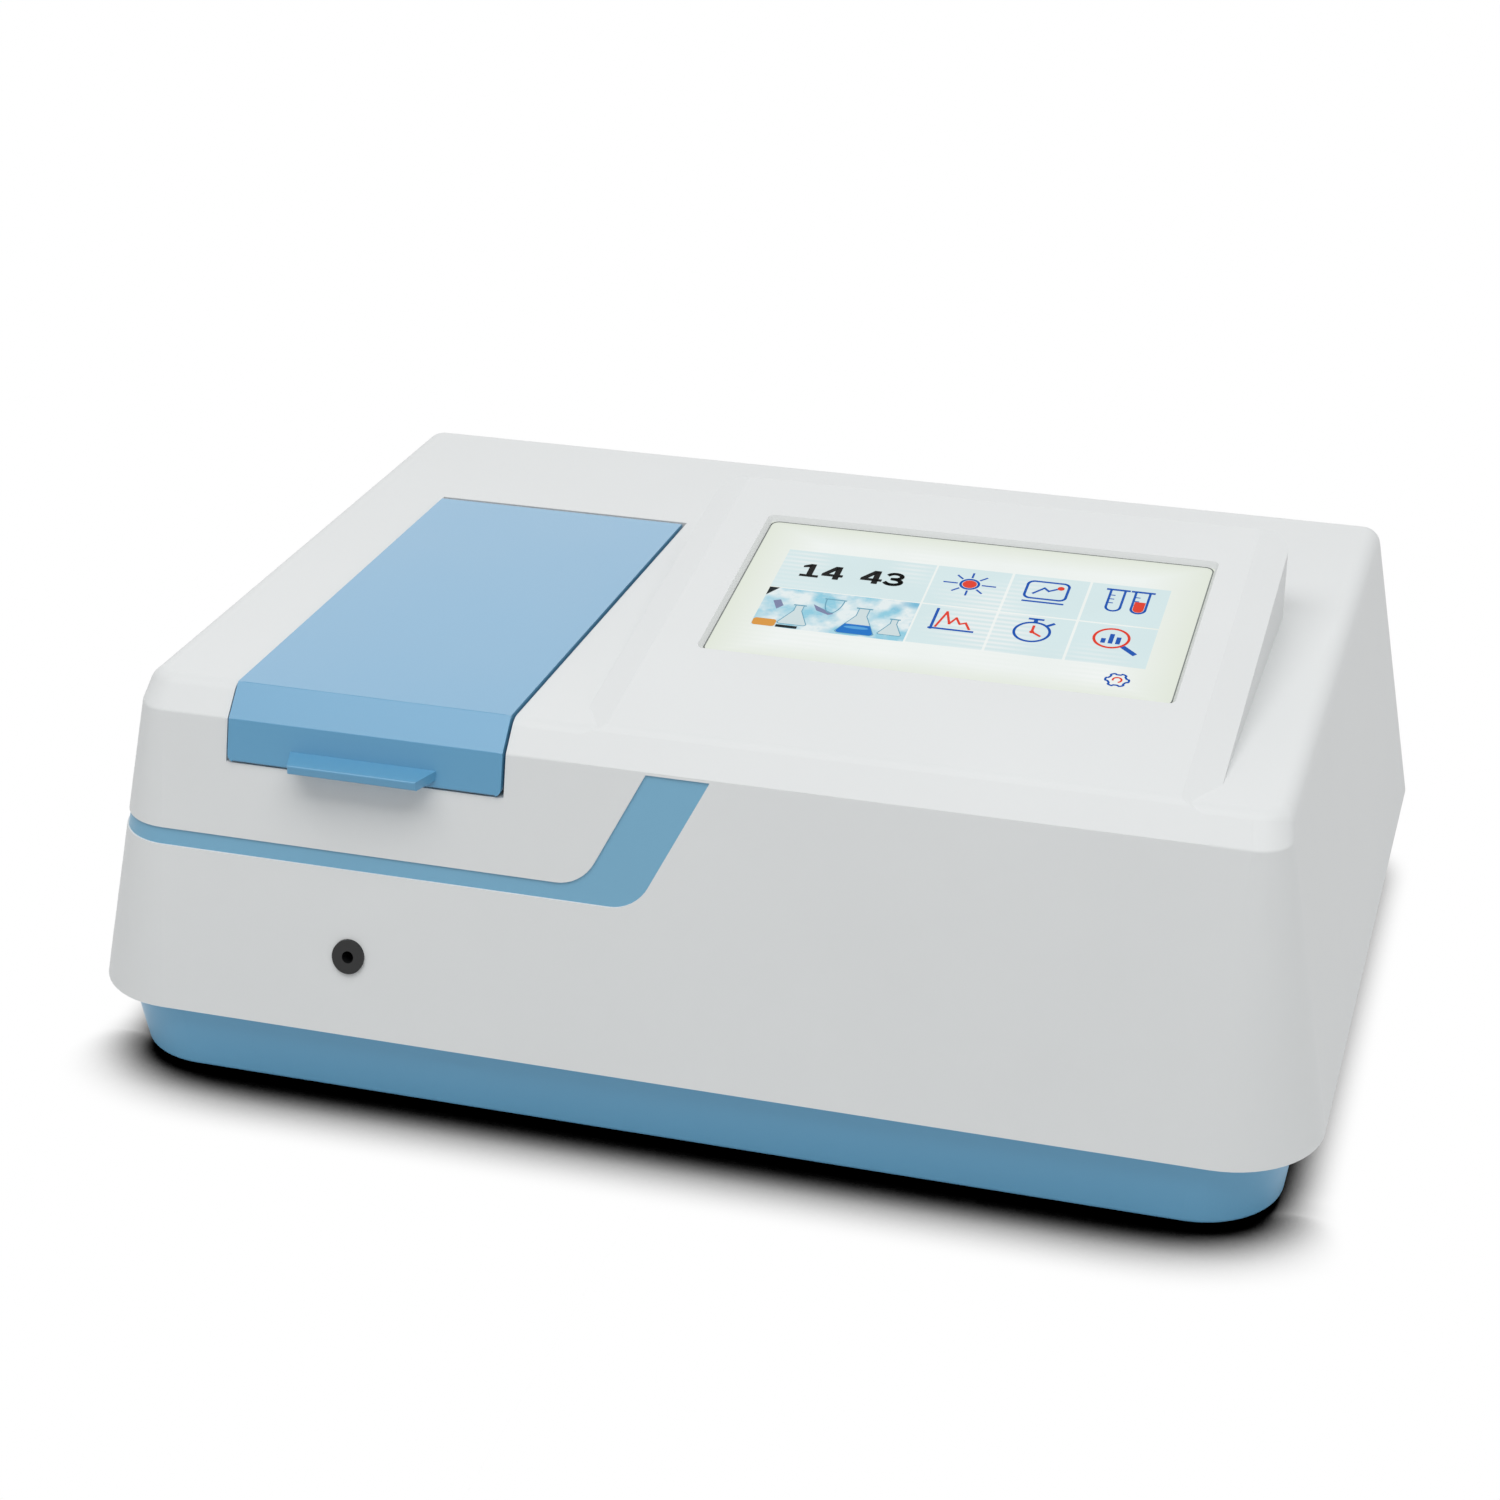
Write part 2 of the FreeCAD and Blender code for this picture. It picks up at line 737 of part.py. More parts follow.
def sample_lid():
    front, nose, top, _ = case_lines(lid_proud)
    front_in, nose_in, top_in, _ = case_lines(lid_proud - lid_wall)
    apron_low = nose_level - lid_apron
    left = lid_x - lid_width / 2
    low = meet(front, level_line(apron_low))
    crease = meet(front, nose)
    brow = meet(nose, top)
    back = (lid_rear, top_level + lid_proud)
    back_in = (lid_rear, top_level + lid_proud - lid_wall)
    inner = [meet(nose_in, top_in), meet(front_in, nose_in), meet(front_in, level_line(apron_low))]
    outline = [low, crease, brow, back, back_in] + inner
    radii = [0.8, 1.0, 1.0, lid_rear_edge, 0.0, 0.0, 0.0, 0.0]
    skin = Part.Face(rounded_path([Vec(left, y, z) for y, z in outline], radii)).extrude(Vec(lid_width, 0, 0))
    rib_low = ledge_level + seal_height + rest_gap
    rib_front = well_hole_front - seal_width + 1.0
    rib_rear = well_hole_rear + seal_width - 1.0
    plate_low = top_level + lid_proud - lid_wall
    cheek_front = ledge_front - lid_side_gap
    cheek = [low, crease, brow, (rib_rear, plate_low), (rib_rear, rib_low), (cheek_front, rib_low),
             (cheek_front, apron_low)]
    pieces = []
    for x in (left, left + lid_width - lid_rib):
        pieces.append(prism([Vec(x, y, z) for y, z in cheek], Vec(lid_rib, 0, 0)))
    for y in (rib_front, rib_rear - lid_rib):
        pieces.append(box((left, left + lid_width), (y, y + lid_rib), (rib_low, plate_low)))
    pull_top = nose_level - pull_drop
    root_y = front_y(pull_top, lid_proud - lid_wall / 2)
    tip_y = front_y(pull_top, lid_proud) - pull_depth
    plan = [
        Vec(lid_x - pull_width_root / 2, root_y, pull_top - pull_thickness),
        Vec(lid_x - pull_width_tip / 2, tip_y, pull_top - pull_thickness),
        Vec(lid_x + pull_width_tip / 2, tip_y, pull_top - pull_thickness),
        Vec(lid_x + pull_width_root / 2, root_y, pull_top - pull_thickness),
    ]
    pull = prism(plan, Vec(0, 0, pull_thickness))
    tip_edges = [e for e in pull.Edges if e.BoundBox.YMax < tip_y + 0.01]
    pieces.append(pull.makeFillet(0.8, tip_edges))
    for x in hinge_places():
        side = x - hinge_ear_width / 2
        ear = rod(hinge_ear_radius, Vec(side, hinge_y, hinge_z), Vec(side + hinge_ear_width, hinge_y, hinge_z))
        neck = box((side, side + hinge_ear_width), (hinge_y - hinge_ear_radius, hinge_y + 1.0),
                   (hinge_z, plate_low + 0.5))
        pieces.append(ear.fuse(neck))
    lid = skin.multiFuse(pieces)
    for x in hinge_places():
        lid = lid.cut(rod(hinge_pin_radius + running_fit, hinge_point(x - 20.0), hinge_point(x + 20.0)))
    right = left + lid_width
    high = top_level + 2 * wall
    view = [Vec(left, -case_depth, apron_low), Vec(right, -case_depth, apron_low),
            Vec(right, -case_depth, high), Vec(left, -case_depth, high)]
    front_view = rounded_path(view, [lid_corner, lid_corner, 0.0, 0.0])
    return lid.common(Part.Face(front_view).extrude(Vec(0, 2 * case_depth, 0))).removeSplitter()


def hinge_brackets():
    brackets = []
    reach = hinge_ear_width / 2 + hinge_side_gap + hinge_plate
    for x in hinge_places():
        cheeks = []
        for start in (x - reach, x + reach - hinge_plate):
            cheek = rod(hinge_ear_radius, hinge_point(start), hinge_point(start + hinge_plate))
            foot = box((start, start + hinge_plate), (hinge_y - hinge_ear_radius, hinge_y + hinge_ear_radius),
                       (trough_level, hinge_z))
            cheeks.append(cheek.fuse(foot))
        floor = box((x - reach, x + reach), (hinge_y - hinge_ear_radius, hinge_y + hinge_ear_radius),
                    (trough_level, trough_level + 0.7))
        bracket = floor.multiFuse(cheeks)
        bracket = bracket.cut(rod(hinge_pin_radius, hinge_point(x - 20.0), hinge_point(x + 20.0)))
        brackets.append(bracket.removeSplitter())
    return group(brackets)


def hinge_pins():
    reach = hinge_ear_width / 2 + hinge_side_gap + hinge_plate
    return group([rod(hinge_pin_radius, hinge_point(x - reach), hinge_point(x + reach)) for x in hinge_places()])


def lid_seal():
    inner_half = well_hole_half + 0.2
    outer_half = inner_half + seal_width
    front = well_hole_front - 0.2
    rear = well_hole_rear + 0.2
    span = (ledge_level, ledge_level + seal_height)
    outer = box((lid_x - outer_half, lid_x + outer_half), (front - seal_width, rear + seal_width), span)
    inner = box((lid_x - inner_half, lid_x + inner_half), (front, rear), (0, top_level))
    return outer.cut(inner)


# Sample compartment


def beam_places():
    return [sample_beam_y, reference_beam_y]


def compartment_well():
    left = lid_x - well_half
    right = lid_x + well_half
    outer = box((left - well_wall, right + well_wall), (well_front - well_wall, well_rear + well_wall),
                (well_floor - wall, ledge_level))
    inner = box((left, right), (well_front, well_rear), (well_floor, top_level))
    well = outer.cut(inner)
    legs = []
    for x in (left + well_leg, right - well_leg):
        for y in (well_front + well_leg + 45.0, well_rear - well_leg):
            legs.append(rod(well_leg / 2, Vec(x, y, bench_top), Vec(x, y, well_floor - wall / 2)))
    well = well.multiFuse(legs)
    for y in beam_places():
        start = Vec(left - 2 * wall, y, beam_level)
        well = well.cut(rod(window_hole_radius, start, start + Vec(well_width + 4 * wall, 0, 0)))
    return well.cut(bushing_hole(bushing_radius + running_fit)).removeSplitter()


def rod_bushing():
    front = Vec(bushing_x, -case_depth, bushing_level)
    inner_end = Vec(bushing_x, well_front, bushing_level)
    sleeve = rod(bushing_radius, front, inner_end)
    flange = rod(bushing_flange_radius, front, inner_end)
    proud = case_form(bushing_proud, cover_bottom)
    body = sleeve.common(proud).fuse(flange.common(proud.cut(case_form(0.0, cover_bottom - wall))))
    return body.cut(rod(bushing_bore, front, inner_end + Vec(0, wall, 0))).removeSplitter()


def cell_block(y, high):
    """Cuvette holder standing on the compartment floor, its pocket centred on the beam."""
    body = box((lid_x - cell_block_x / 2, lid_x + cell_block_x / 2), (y - cell_block_y / 2, y + cell_block_y / 2),
               (well_floor, high))
    body = body.makeChamfer(1.0, [e for e in body.Edges if e.BoundBox.ZMin > high - 0.1])
    foot = box((lid_x - cell_block_x, lid_x + cell_block_x), (y - cell_block_y / 2, y + cell_block_y / 2),
               (well_floor, well_floor + 4.0))
    half = cuvette_size / 2
    pocket = box((lid_x - half, lid_x + half), (y - half, y + half), (beam_level - cuvette_beam_height, high + 1))
    beam = rod(4.5, Vec(lid_x - cell_block_x, y, beam_level), Vec(lid_x + cell_block_x, y, beam_level))
    drain = rod(2.0, Vec(lid_x, y, well_floor + 8.0), Vec(lid_x, y, high))
    side_drain = rod(2.0, Vec(lid_x, y, well_floor + 10.0), Vec(lid_x, y - cell_block_y, well_floor + 10.0))
    block = body.fuse(foot)
    for cutter in (pocket, beam, drain, side_drain):
        block = block.cut(cutter)
    for side in (-1, 1):
        x = lid_x + side * cell_block_x * 0.78
        block = block.cut(rod(screw_radius + running_fit, Vec(x, y, well_floor - 1), Vec(x, y, well_floor + 5)))
    return block.removeSplitter()


def cell_holders():
    """Sample holder in front and reference holder behind."""
    return group([cell_block(y, cell_block_top) for y in beam_places()])


def cell_screws():
    screws = []
    for y in beam_places():
        for side in (-1, 1):
            x = lid_x + side * cell_block_x * 0.78
            screws.append(screw(Vec(x, y, well_floor + 4.0), Z_AXIS * -1, 4.0))
    return screws


def window_walls():
    """Outer faces of the compartment's two side walls, with the way out of each."""
    return [(lid_x - well_half - well_wall, -1.0), (lid_x + well_half + well_wall, 1.0)]


def quartz_windows():
    discs = []
    for x, out in window_walls():
        for y in beam_places():
            start = Vec(x, y, beam_level)
            discs.append(rod(window_disc_radius, start, start + Vec(out * window_disc_thickness, 0, 0)))
    return group(discs)


def window_retainers():
    rings = []
    for x, out in window_walls():
        for y in beam_places():
            start = Vec(x, y, beam_level)
            depth = window_disc_thickness + 1.0
            body = rod(window_disc_radius + 4.0, start, start + Vec(out * depth, 0, 0))
            seat = rod(window_disc_radius + running_fit, start, start + Vec(out * window_disc_thickness, 0, 0))
            hole = rod(window_hole_radius, start, start + Vec(out * depth * 2, 0, 0))
            rings.append(body.cut(seat).cut(hole))
    return group(rings)


# Optical bench and what stands on it


def pillar_places():
    return [(x, y) for x in pillar_columns for y in pillar_rows]


def optical_bench():
    low = bench_top - bench_plate
    plate = rounded_box(2 * bench_half_width, bench_rear - bench_front, 8.0,
                        (0, (bench_front + bench_rear) / 2), (low, bench_top))
    ribs = []
    edge = bench_half_width - 7.0
    for x in (-edge, lens_near_x - 46.0, exit_x + 25.0, pinion_place().x + 36.4, mono_right, edge):
        ribs.append(box((x - rib_width / 2, x + rib_width / 2), (bench_front + 8, bench_rear - 8),
                        (low - rib_depth, low + 1)))
    for y in (pillar_rows[0], grating_y - 28.0, pillar_rows[1]):
        ribs.append(box((-edge, edge), (y - rib_width / 2, y + rib_width / 2), (low - rib_depth, low + 1)))
    for x, y in pillar_places():
        ribs.append(rod(pillar_radius + pillar_collar, Vec(x, y, low - rib_depth), Vec(x, y, low + 1)))
    bench = plate.multiFuse(ribs)
    for x, y in pillar_places():
        bench = bench.cut(rod(screw_radius + running_fit, Vec(x, y, 0), Vec(x, y, bench_top + 1)))
    bench = bench.cut(rod(shaft_radius * 2, Vec(grating_x, grating_y, 0), Vec(grating_x, grating_y, bench_top + 1)))
    pinion = pinion_place()
    bench = bench.cut(rod(drive_shaft_radius * 2, Vec(pinion.x, pinion.y, 0), Vec(pinion.x, pinion.y, bench_top + 1)))
    return bench.removeSplitter()


def pillars_and_standoffs():
    return group(bench_pillars() + board_standoffs())


def bench_pillars():
    floor = foot_height + base_floor
    high = bench_top - bench_plate - rib_depth
    pillars = []
    for x, y in pillar_places():
        pillar = rod(pillar_radius, Vec(x, y, floor), Vec(x, y, high))
        pillars.append(pillar.cut(rod(screw_radius + running_fit, Vec(x, y, high - 12.0), Vec(x, y, high + 1))))
    return pillars


def pillar_screws():
    length = bench_plate + rib_depth + 8.0
    return [screw(Vec(x, y, bench_top), Z_AXIS * -1, length) for x, y in pillar_places()]


def bench_screws():
    return group(pillar_screws() + cell_screws() + mono_screws())


def lens_places():
    return [Vec(x, y, beam_level) for x in (lens_near_x, lens_far_x) for y in beam_places()]


def lenses():
    discs = []
    for place in lens_places():
        disc = rod(lens_radius, place - X_AXIS * lens_thickness / 2, place + X_AXIS * lens_thickness / 2)
        inset = lens_curve_radius - lens_thickness / 2
        for side in (-1, 1):
            disc = disc.common(Part.makeSphere(lens_curve_radius, place - X_AXIS * side * inset))
        discs.append(disc)
    return group(discs)


def lens_mounts():
    mounts = []
    for place in lens_places():
        half = lens_radius + 4.0
        block = box((place.x - 5, place.x + 5), (place.y - half, place.y + half), (bench_top, beam_level))
        ring_part = rod(half, place - X_AXIS * 5, place + X_AXIS * 5)
        foot = box((place.x - 5, place.x + 13), (place.y - half, place.y + half), (bench_top, bench_top + 4))
        seat = rod(lens_radius + running_fit, place - X_AXIS * 2, place + X_AXIS * 6)
        clear = rod(lens_radius - 1.5, place - X_AXIS * 6, place + X_AXIS * 6)
        mounts.append(block.multiFuse([ring_part, foot]).cut(seat).cut(clear).removeSplitter())
    return group(mounts)


def detectors():
    cans = []
    for y in beam_places():
        start = Vec(detector_x, y, beam_level)
        can = rod(7.0, start, start + X_AXIS * 5).fuse(rod(8.0, start, start + X_AXIS))
        cans.append(can.cut(rod(4.0, start + X_AXIS * 4, start + X_AXIS * 6)))
    return group(cans)


def detector_boards():
    boards = []
    half = detector_board_size / 2
    rear = detector_x - board_thickness
    for y in beam_places():
        board = box((rear, detector_x), (y - half, y + half), (beam_level - half, beam_level + half))
        chips = [box((rear - 2, rear), (y + step, y + step + 7), (beam_level - 11, beam_level - 6))
                 for step in (-10, 2)]
        boards.append(board.multiFuse(chips))
    return group(boards)


def detector_brackets():
    """Folded plate behind each detector board, cut out round its chips, with four posts and a foot."""
    brackets = []
    half = detector_bracket_width / 2
    hole = detector_board_size / 2 - 4.0
    post = detector_board_size / 2 - 2.5
    x = detector_x - board_thickness
    for y in beam_places():
        upright = box((x - 4.0, x - 2.5), (y - half, y + half), (bench_top, beam_level + half))
        upright = upright.cut(box((x - 5, x), (y - hole, y + hole), (beam_level - hole, beam_level + hole)))
        posts = []
        for i, j in ((-1, -1), (-1, 1), (1, -1), (1, 1)):
            place = Vec(x, y + i * post, beam_level + j * post)
            posts.append(rod(2.0, place - X_AXIS * 3.5, place))
        foot = box((x - 4.0, x + 12.0), (y - half, y + half), (bench_top, bench_top + 1.5))
        brackets.append(upright.multiFuse(posts + [foot]).removeSplitter())
    return group(brackets)


def mirror_frame(shape, x, y, heading):
    """Puts a mirror drawn facing +X at the origin onto the beam, facing a heading."""
    copy = turned(shape, Vec(0, 0, 0), Z_AXIS, heading)
    copy.translate(Vec(x, y, 0))
    return copy


flat_mirror_size = 26.0
flat_mirror_thickness = 3.0
fold_places = [(entrance_x, reference_beam_y, 45.0), (exit_x, sample_beam_y, 135.0)]
splitter_place = (exit_x, reference_beam_y, 135.0)


def flat_mirror():
    half = flat_mirror_size / 2
    return box((-flat_mirror_thickness, 0), (-half, half), (beam_level - half, beam_level + half))


def mirror_post():
    """Post with a back plate that a flat mirror is clamped to."""
    half = flat_mirror_size / 2 + 1.5
    back = box((-flat_mirror_thickness - 4, -flat_mirror_thickness), (-half, half), (beam_level - half, beam_level + half))
    stem = box((-flat_mirror_thickness - 10, -flat_mirror_thickness), (-6, 6), (bench_top, beam_level))
    foot = box((-flat_mirror_thickness - 16, 2), (-12, 12), (bench_top, bench_top + 5))
    return back.multiFuse([stem, foot]).removeSplitter()


def fold_mirrors():
    return group([mirror_frame(flat_mirror(), *place) for place in fold_places])


def mirror_posts():
    return group([mirror_frame(mirror_post(), *place) for place in fold_places] + [splitter_post()])


def beam_splitter():
    return mirror_frame(flat_mirror(), *splitter_place)


def splitter_post():
    hole = rod(10.0, Vec(-20, 0, beam_level), Vec(5, 0, beam_level))
    return mirror_frame(mirror_post().cut(hole), *splitter_place)


# Monochromator


def mono_housing():
    outer = box((mono_left, mono_right), (mono_front, mono_rear), (bench_top, mono_top))
    inner = box((mono_left + mono_wall, mono_right - mono_wall), (mono_front + mono_wall, mono_rear - mono_wall),
                (0, mono_top + 1))
    walls = outer.cut(inner)
    corners = [rod(6.0, Vec(x, y, mono_top - 20.0), Vec(x, y, mono_top)) for x, y in mono_screw_places()]
    walls = walls.multiFuse([corner.common(outer) for corner in corners])
    for x in (entrance_x, exit_x):
        walls = walls.cut(rod(6.0, Vec(x, 0, beam_level), Vec(x, mono_front + 2 * mono_wall, beam_level)))
    shaft = wheel_centre()
    walls = walls.cut(rod(drive_shaft_radius + 1.0, shaft, shaft + Y_AXIS * 30))
    for x, y in mono_screw_places():
        walls = walls.cut(rod(screw_radius + running_fit, Vec(x, y, mono_top - 10), Vec(x, y, mono_top + 1)))
    return walls.removeSplitter()


def mono_screw_places():
    inset = mono_wall + 3.0
    middle = (mono_left + mono_right) / 2
    return [(x, y) for x in (mono_left + inset, middle, mono_right - inset)
            for y in (mono_front + inset, mono_rear - inset)]


def mono_cover():
    plate = box((mono_left, mono_right), (mono_front, mono_rear), (mono_top, mono_top + mono_lid))
    rib = box((mono_left + mono_wall + 8, mono_right - mono_wall - 8), (mono_front + 20, mono_rear - 20),
              (mono_top + mono_lid, mono_top + mono_lid + 1.5))
    plate = plate.fuse(rib)
    for x, y in mono_screw_places():
        plate = plate.cut(rod(screw_radius + running_fit, Vec(x, y, mono_top - 1), Vec(x, y, mono_top + 5)))
    return plate.removeSplitter()


def mono_screws():
    return [screw(Vec(x, y, mono_top + mono_lid), Z_AXIS * -1, 11.0) for x, y in mono_screw_places()]


def slit_plates():
    plates = []
    for x in (entrance_x, exit_x):
        plate = box((x - 10, x + 10), (mono_front - slit_plate, mono_front), (beam_level - 10, beam_level + 10))
        plates.append(plate.cut(box((x - 0.4, x + 0.4), (0, mono_front + 1), (beam_level - 5, beam_level + 5))))
    return group(plates)


def concave_mirror():
    """Round mirror facing -Y at the origin, its front hollowed by a large sphere."""
    disc = rod(mirror_radius, Vec(0, 0, 0), Vec(0, mirror_thickness, 0))
    return disc.cut(Part.makeSphere(mirror_curve, Vec(0, 1.5 - mirror_curve, 0)))


def aim(start, target):
    return math.degrees(math.atan2(target[0] - start[0], start[1] - target[1]))


concave_y = mono_rear - mono_wall - 21.0
collimator_x = entrance_x - 12.0
focus_x = exit_x + 12.0


def placed_mirror(shape, x, slit_x):
    """Turns a part drawn facing -Y so that it halves the angle between slit and grating."""
    to_slit = aim((x, concave_y), (slit_x, mono_front))
    to_grating = aim((x, concave_y), (grating_x, grating_y))
    copy = turned(shape, Vec(0, 0, 0), Z_AXIS, (to_slit + to_grating) / 2)
    copy.translate(Vec(x, concave_y, beam_level))
    return copy


def concave_mirror_mount():
    back = rod(mirror_radius + 2.0, Vec(0, mirror_thickness, 0), Vec(0, mirror_thickness + 3.0, 0))
    drop = bench_top - beam_level
    post = box((-9, 9), (mirror_thickness, mirror_thickness + 5.0), (drop, 0))
    foot = box((-15, 15), (-6, mirror_thickness + 5.0), (drop, drop + 5))
    return back.multiFuse([post, foot]).removeSplitter()


def concave_mirrors():
    """Collimating mirror on the right and focusing mirror on the left."""
    return group([placed_mirror(concave_mirror(), collimator_x, entrance_x),
                  placed_mirror(concave_mirror(), focus_x, exit_x)])


def concave_mounts():
    return group([placed_mirror(concave_mirror_mount(), collimator_x, entrance_x),
                  placed_mirror(concave_mirror_mount(), focus_x, exit_x)])


# Wavelength drive: involute gear on the grating table, turned by a small pinion


def involute_point(base_radius, radius):
    """Polar angle, in radians, of the involute of a base circle at a radius."""
    roll = math.sqrt(max((radius / base_radius) ** 2 - 1.0, 0.0))
    return roll - math.atan(roll)


def gear_outline(teeth):
    """Outline of an involute gear about the origin, with a tooth centred on +X."""
    pitch = gear_module * teeth / 2
    base = pitch * cos(pressure_angle)
    tip = pitch + gear_module * 0.95
    root = pitch - gear_module * 1.25
    half_tooth = (math.pi * gear_module / 2 - gear_backlash) / 2 / pitch
    zero = half_tooth + involute_point(base, pitch)
    start = max(base, root)
    radii = [start + (tip - start) * step / 3 for step in range(4)]
    flank = [(radius, zero - involute_point(base, radius)) for radius in radii]
    if root < base:
        flank.insert(0, (root, zero))
    points = []
    for tooth in range(teeth):
        middle = 2 * math.pi * tooth / teeth
        for radius, half in flank:
            points.append((radius, middle - half))
        for radius, half in reversed(flank):
            points.append((radius, middle + half))
    return [Vec(radius * math.cos(angle), radius * math.sin(angle), 0) for radius, angle in points]


def gear(teeth, centre, level, turn):
    solid = prism(gear_outline(teeth), Vec(0, 0, gear_thickness))
    solid.rotate(Vec(0, 0, 0), Z_AXIS, turn)
    solid.translate(Vec(centre.x, centre.y, level))
    return solid


def pinion_place():
    distance = gear_module * (gear_teeth + pinion_teeth) / 2
    return Vec(grating_x + distance, grating_y, 0)


def grating_table():
    """Gear, column and table in one turned and hobbed piece, on its shaft."""
    centre = Vec(grating_x, grating_y, 0)
    wheel = gear(gear_teeth, centre, gear_level, 0.0)
    pockets = []
    for step in range(6):
        angle = 30.0 + 60.0 * step
        place = centre + Vec(18.5 * cos(angle), 18.5 * sin(angle), gear_level - 1)
        pockets.append(rod(5.5, place, place + Z_AXIS * (gear_thickness + 2)))
    wheel = wheel.cut(group(pockets))
    table_level = beam_level - grating_size / 2
    column = rod(9.0, centre + Z_AXIS * gear_level, centre + Z_AXIS * (table_level - 2))
    table = rod(20.0, centre + Z_AXIS * (table_level - 3), centre + Z_AXIS * table_level)
    shaft = rod(shaft_radius, centre + Z_AXIS * (bench_top - bench_plate - 6), centre + Z_AXIS * gear_level)
    back = box((grating_x - 17, grating_x + 17), (grating_y - 8, grating_y - 3), (table_level - 1, table_level + 26))
    return wheel.multiFuse([column, table, shaft, back]).removeSplitter()


def grating():
    half = grating_size / 2
    return box((grating_x - half, grating_x + half), (grating_y - 3, grating_y - 3 + grating_thickness),
               (beam_level - half, beam_level + half))


def grating_bearing():
    """Flanged bush in the bench that the grating shaft turns in."""
    centre = Vec(grating_x, grating_y, 0)
    low = bench_top - bench_plate
    body = rod(shaft_radius * 2 - running_fit, centre + Z_AXIS * low, centre + Z_AXIS * bench_top)
    flange = rod(shaft_radius * 2 + 4, centre + Z_AXIS * bench_top, centre + Z_AXIS * (gear_level - 0.5))
    bore = rod(shaft_radius + running_fit, centre, centre + Z_AXIS * top_level)
    return body.fuse(flange).cut(bore).removeSplitter()


def drive_pinion():
    centre = pinion_place()
    turn = 180.0 + 180.0 / pinion_teeth
    teeth = gear(pinion_teeth, centre, gear_level, turn)
    shaft = rod(drive_shaft_radius, centre + Z_AXIS * (bench_top - bench_plate - 4), centre + Z_AXIS * (gear_level + 8))
    return teeth.fuse(shaft).removeSplitter()


def drive_motor():
    centre = pinion_place()
    high = bench_top - bench_plate
    body = rod(drive_motor_radius, centre + Z_AXIS * (high - drive_motor_height), centre + Z_AXIS * (high - 1.5))
    ears = rounded_box(46.0, 9.0, 4.4, (centre.x, centre.y), (high - 1.5, high))
    bore = rod(drive_shaft_radius + running_fit, centre + Z_AXIS * (high - 5), centre + Z_AXIS * (high + 1))
    return body.fuse(ears).cut(bore).removeSplitter()


# Order-sorting filter wheel


def wheel_centre():
    return Vec(entrance_x, wheel_y, beam_level + filter_circle)


def filter_places():
    centre = wheel_centre()
    step = 360.0 / filter_count
    return [centre + Vec(filter_circle * sin(i * step), 0, -filter_circle * cos(i * step))
            for i in range(filter_count)]


def filter_wheel():
    centre = wheel_centre()
    disc = rod(wheel_radius, centre, centre + Y_AXIS * wheel_thickness)
    hub = rod(5.0, centre, centre + Y_AXIS * (wheel_thickness + 4))
    shaft = rod(drive_shaft_radius, centre, centre + Y_AXIS * (mono_front + mono_wall + 6 - wheel_y))
    wheel = disc.multiFuse([hub, shaft])
    for place in filter_places():
        wheel = wheel.cut(rod(filter_radius - 1.0, place - Y_AXIS, place + Y_AXIS * 5))
        wheel = wheel.cut(rod(filter_radius + running_fit, place + Y_AXIS, place + Y_AXIS * 5))
    return wheel.removeSplitter()


def filter_glasses():
    """Glass in every place but one, which stays open."""
    return group([rod(filter_radius, place + Y_AXIS, place + Y_AXIS * wheel_thickness)
                  for place in filter_places()[1:]])


def filter_motor():
    centre = wheel_centre()
    face = Vec(centre.x, mono_front + mono_wall, centre.z)
    body = rod(10.0, face, face + Y_AXIS * 18)
    return body.cut(rod(drive_shaft_radius + running_fit, face - Y_AXIS, face + Y_AXIS * 8))


# Lamp house


def lamp_house():
    outer = box((lamp_left, lamp_right), (lamp_front, lamp_rear), (bench_top, lamp_top))
    inner = box((lamp_left + lamp_sheet, lamp_right - lamp_sheet), (lamp_front + lamp_sheet, lamp_rear - lamp_sheet),
                (bench_top + lamp_sheet, lamp_top + 1))
    house = outer.cut(inner)
    house = house.cut(rod(9.0, Vec(lamp_left - 5, reference_beam_y, beam_level),
                          Vec(lamp_left + 5, reference_beam_y, beam_level)))
    slots = []
    for row in range(5):
        z = bench_top + 52.0 + row * 9.0
        slots.append(box((lamp_right - 5, lamp_right + 5), (lamp_front + 15, lamp_rear - 15), (z, z + 4)))
        slots.append(box((lamp_left + 15, lamp_right - 15), (lamp_rear - 5, lamp_rear + 5), (z, z + 4)))
    return house.cut(group(slots)).removeSplitter()


def lamp_house_cover():
    plate = box((lamp_left - 2, lamp_right + 2), (lamp_front - 2, lamp_rear + 2), (lamp_top, lamp_top + lamp_sheet))
    skirt_out = box((lamp_left - 2, lamp_right + 2), (lamp_front - 2, lamp_rear + 2), (lamp_top - 6, lamp_top))
    skirt_in = box((lamp_left - 0.5, lamp_right + 0.5), (lamp_front - 0.5, lamp_rear + 0.5), (lamp_top - 7, lamp_top))
    slots = []
    for row in range(7):
        y = lamp_front + 18.0 + row * 12.0
        slots.append(box((lamp_left + 15, lamp_right - 15), (y, y + 5), (lamp_top - 1, lamp_top + 5)))
    return plate.fuse(skirt_out.cut(skirt_in)).cut(group(slots)).removeSplitter()


def bulb(radius, low, high, x, y):
    """Glass envelope: a straight tube with a domed top."""
    tube = rod(radius, Vec(x, y, low), Vec(x, y, high - radius))
    return tube.fuse(Part.makeSphere(radius, Vec(x, y, high - radius))).removeSplitter()


lamp_floor = bench_top + lamp_sheet
deuterium_socket_high = lamp_floor + 18.0
tungsten_socket_high = lamp_floor + 32.0


def deuterium_lamp():
    glass = bulb(14.0, deuterium_socket_high, beam_level + 34.0, deuterium_x, reference_beam_y)
    return glass


def tungsten_lamp():
    return bulb(6.0, tungsten_socket_high, beam_level + 12.0, tungsten_x, tungsten_y)


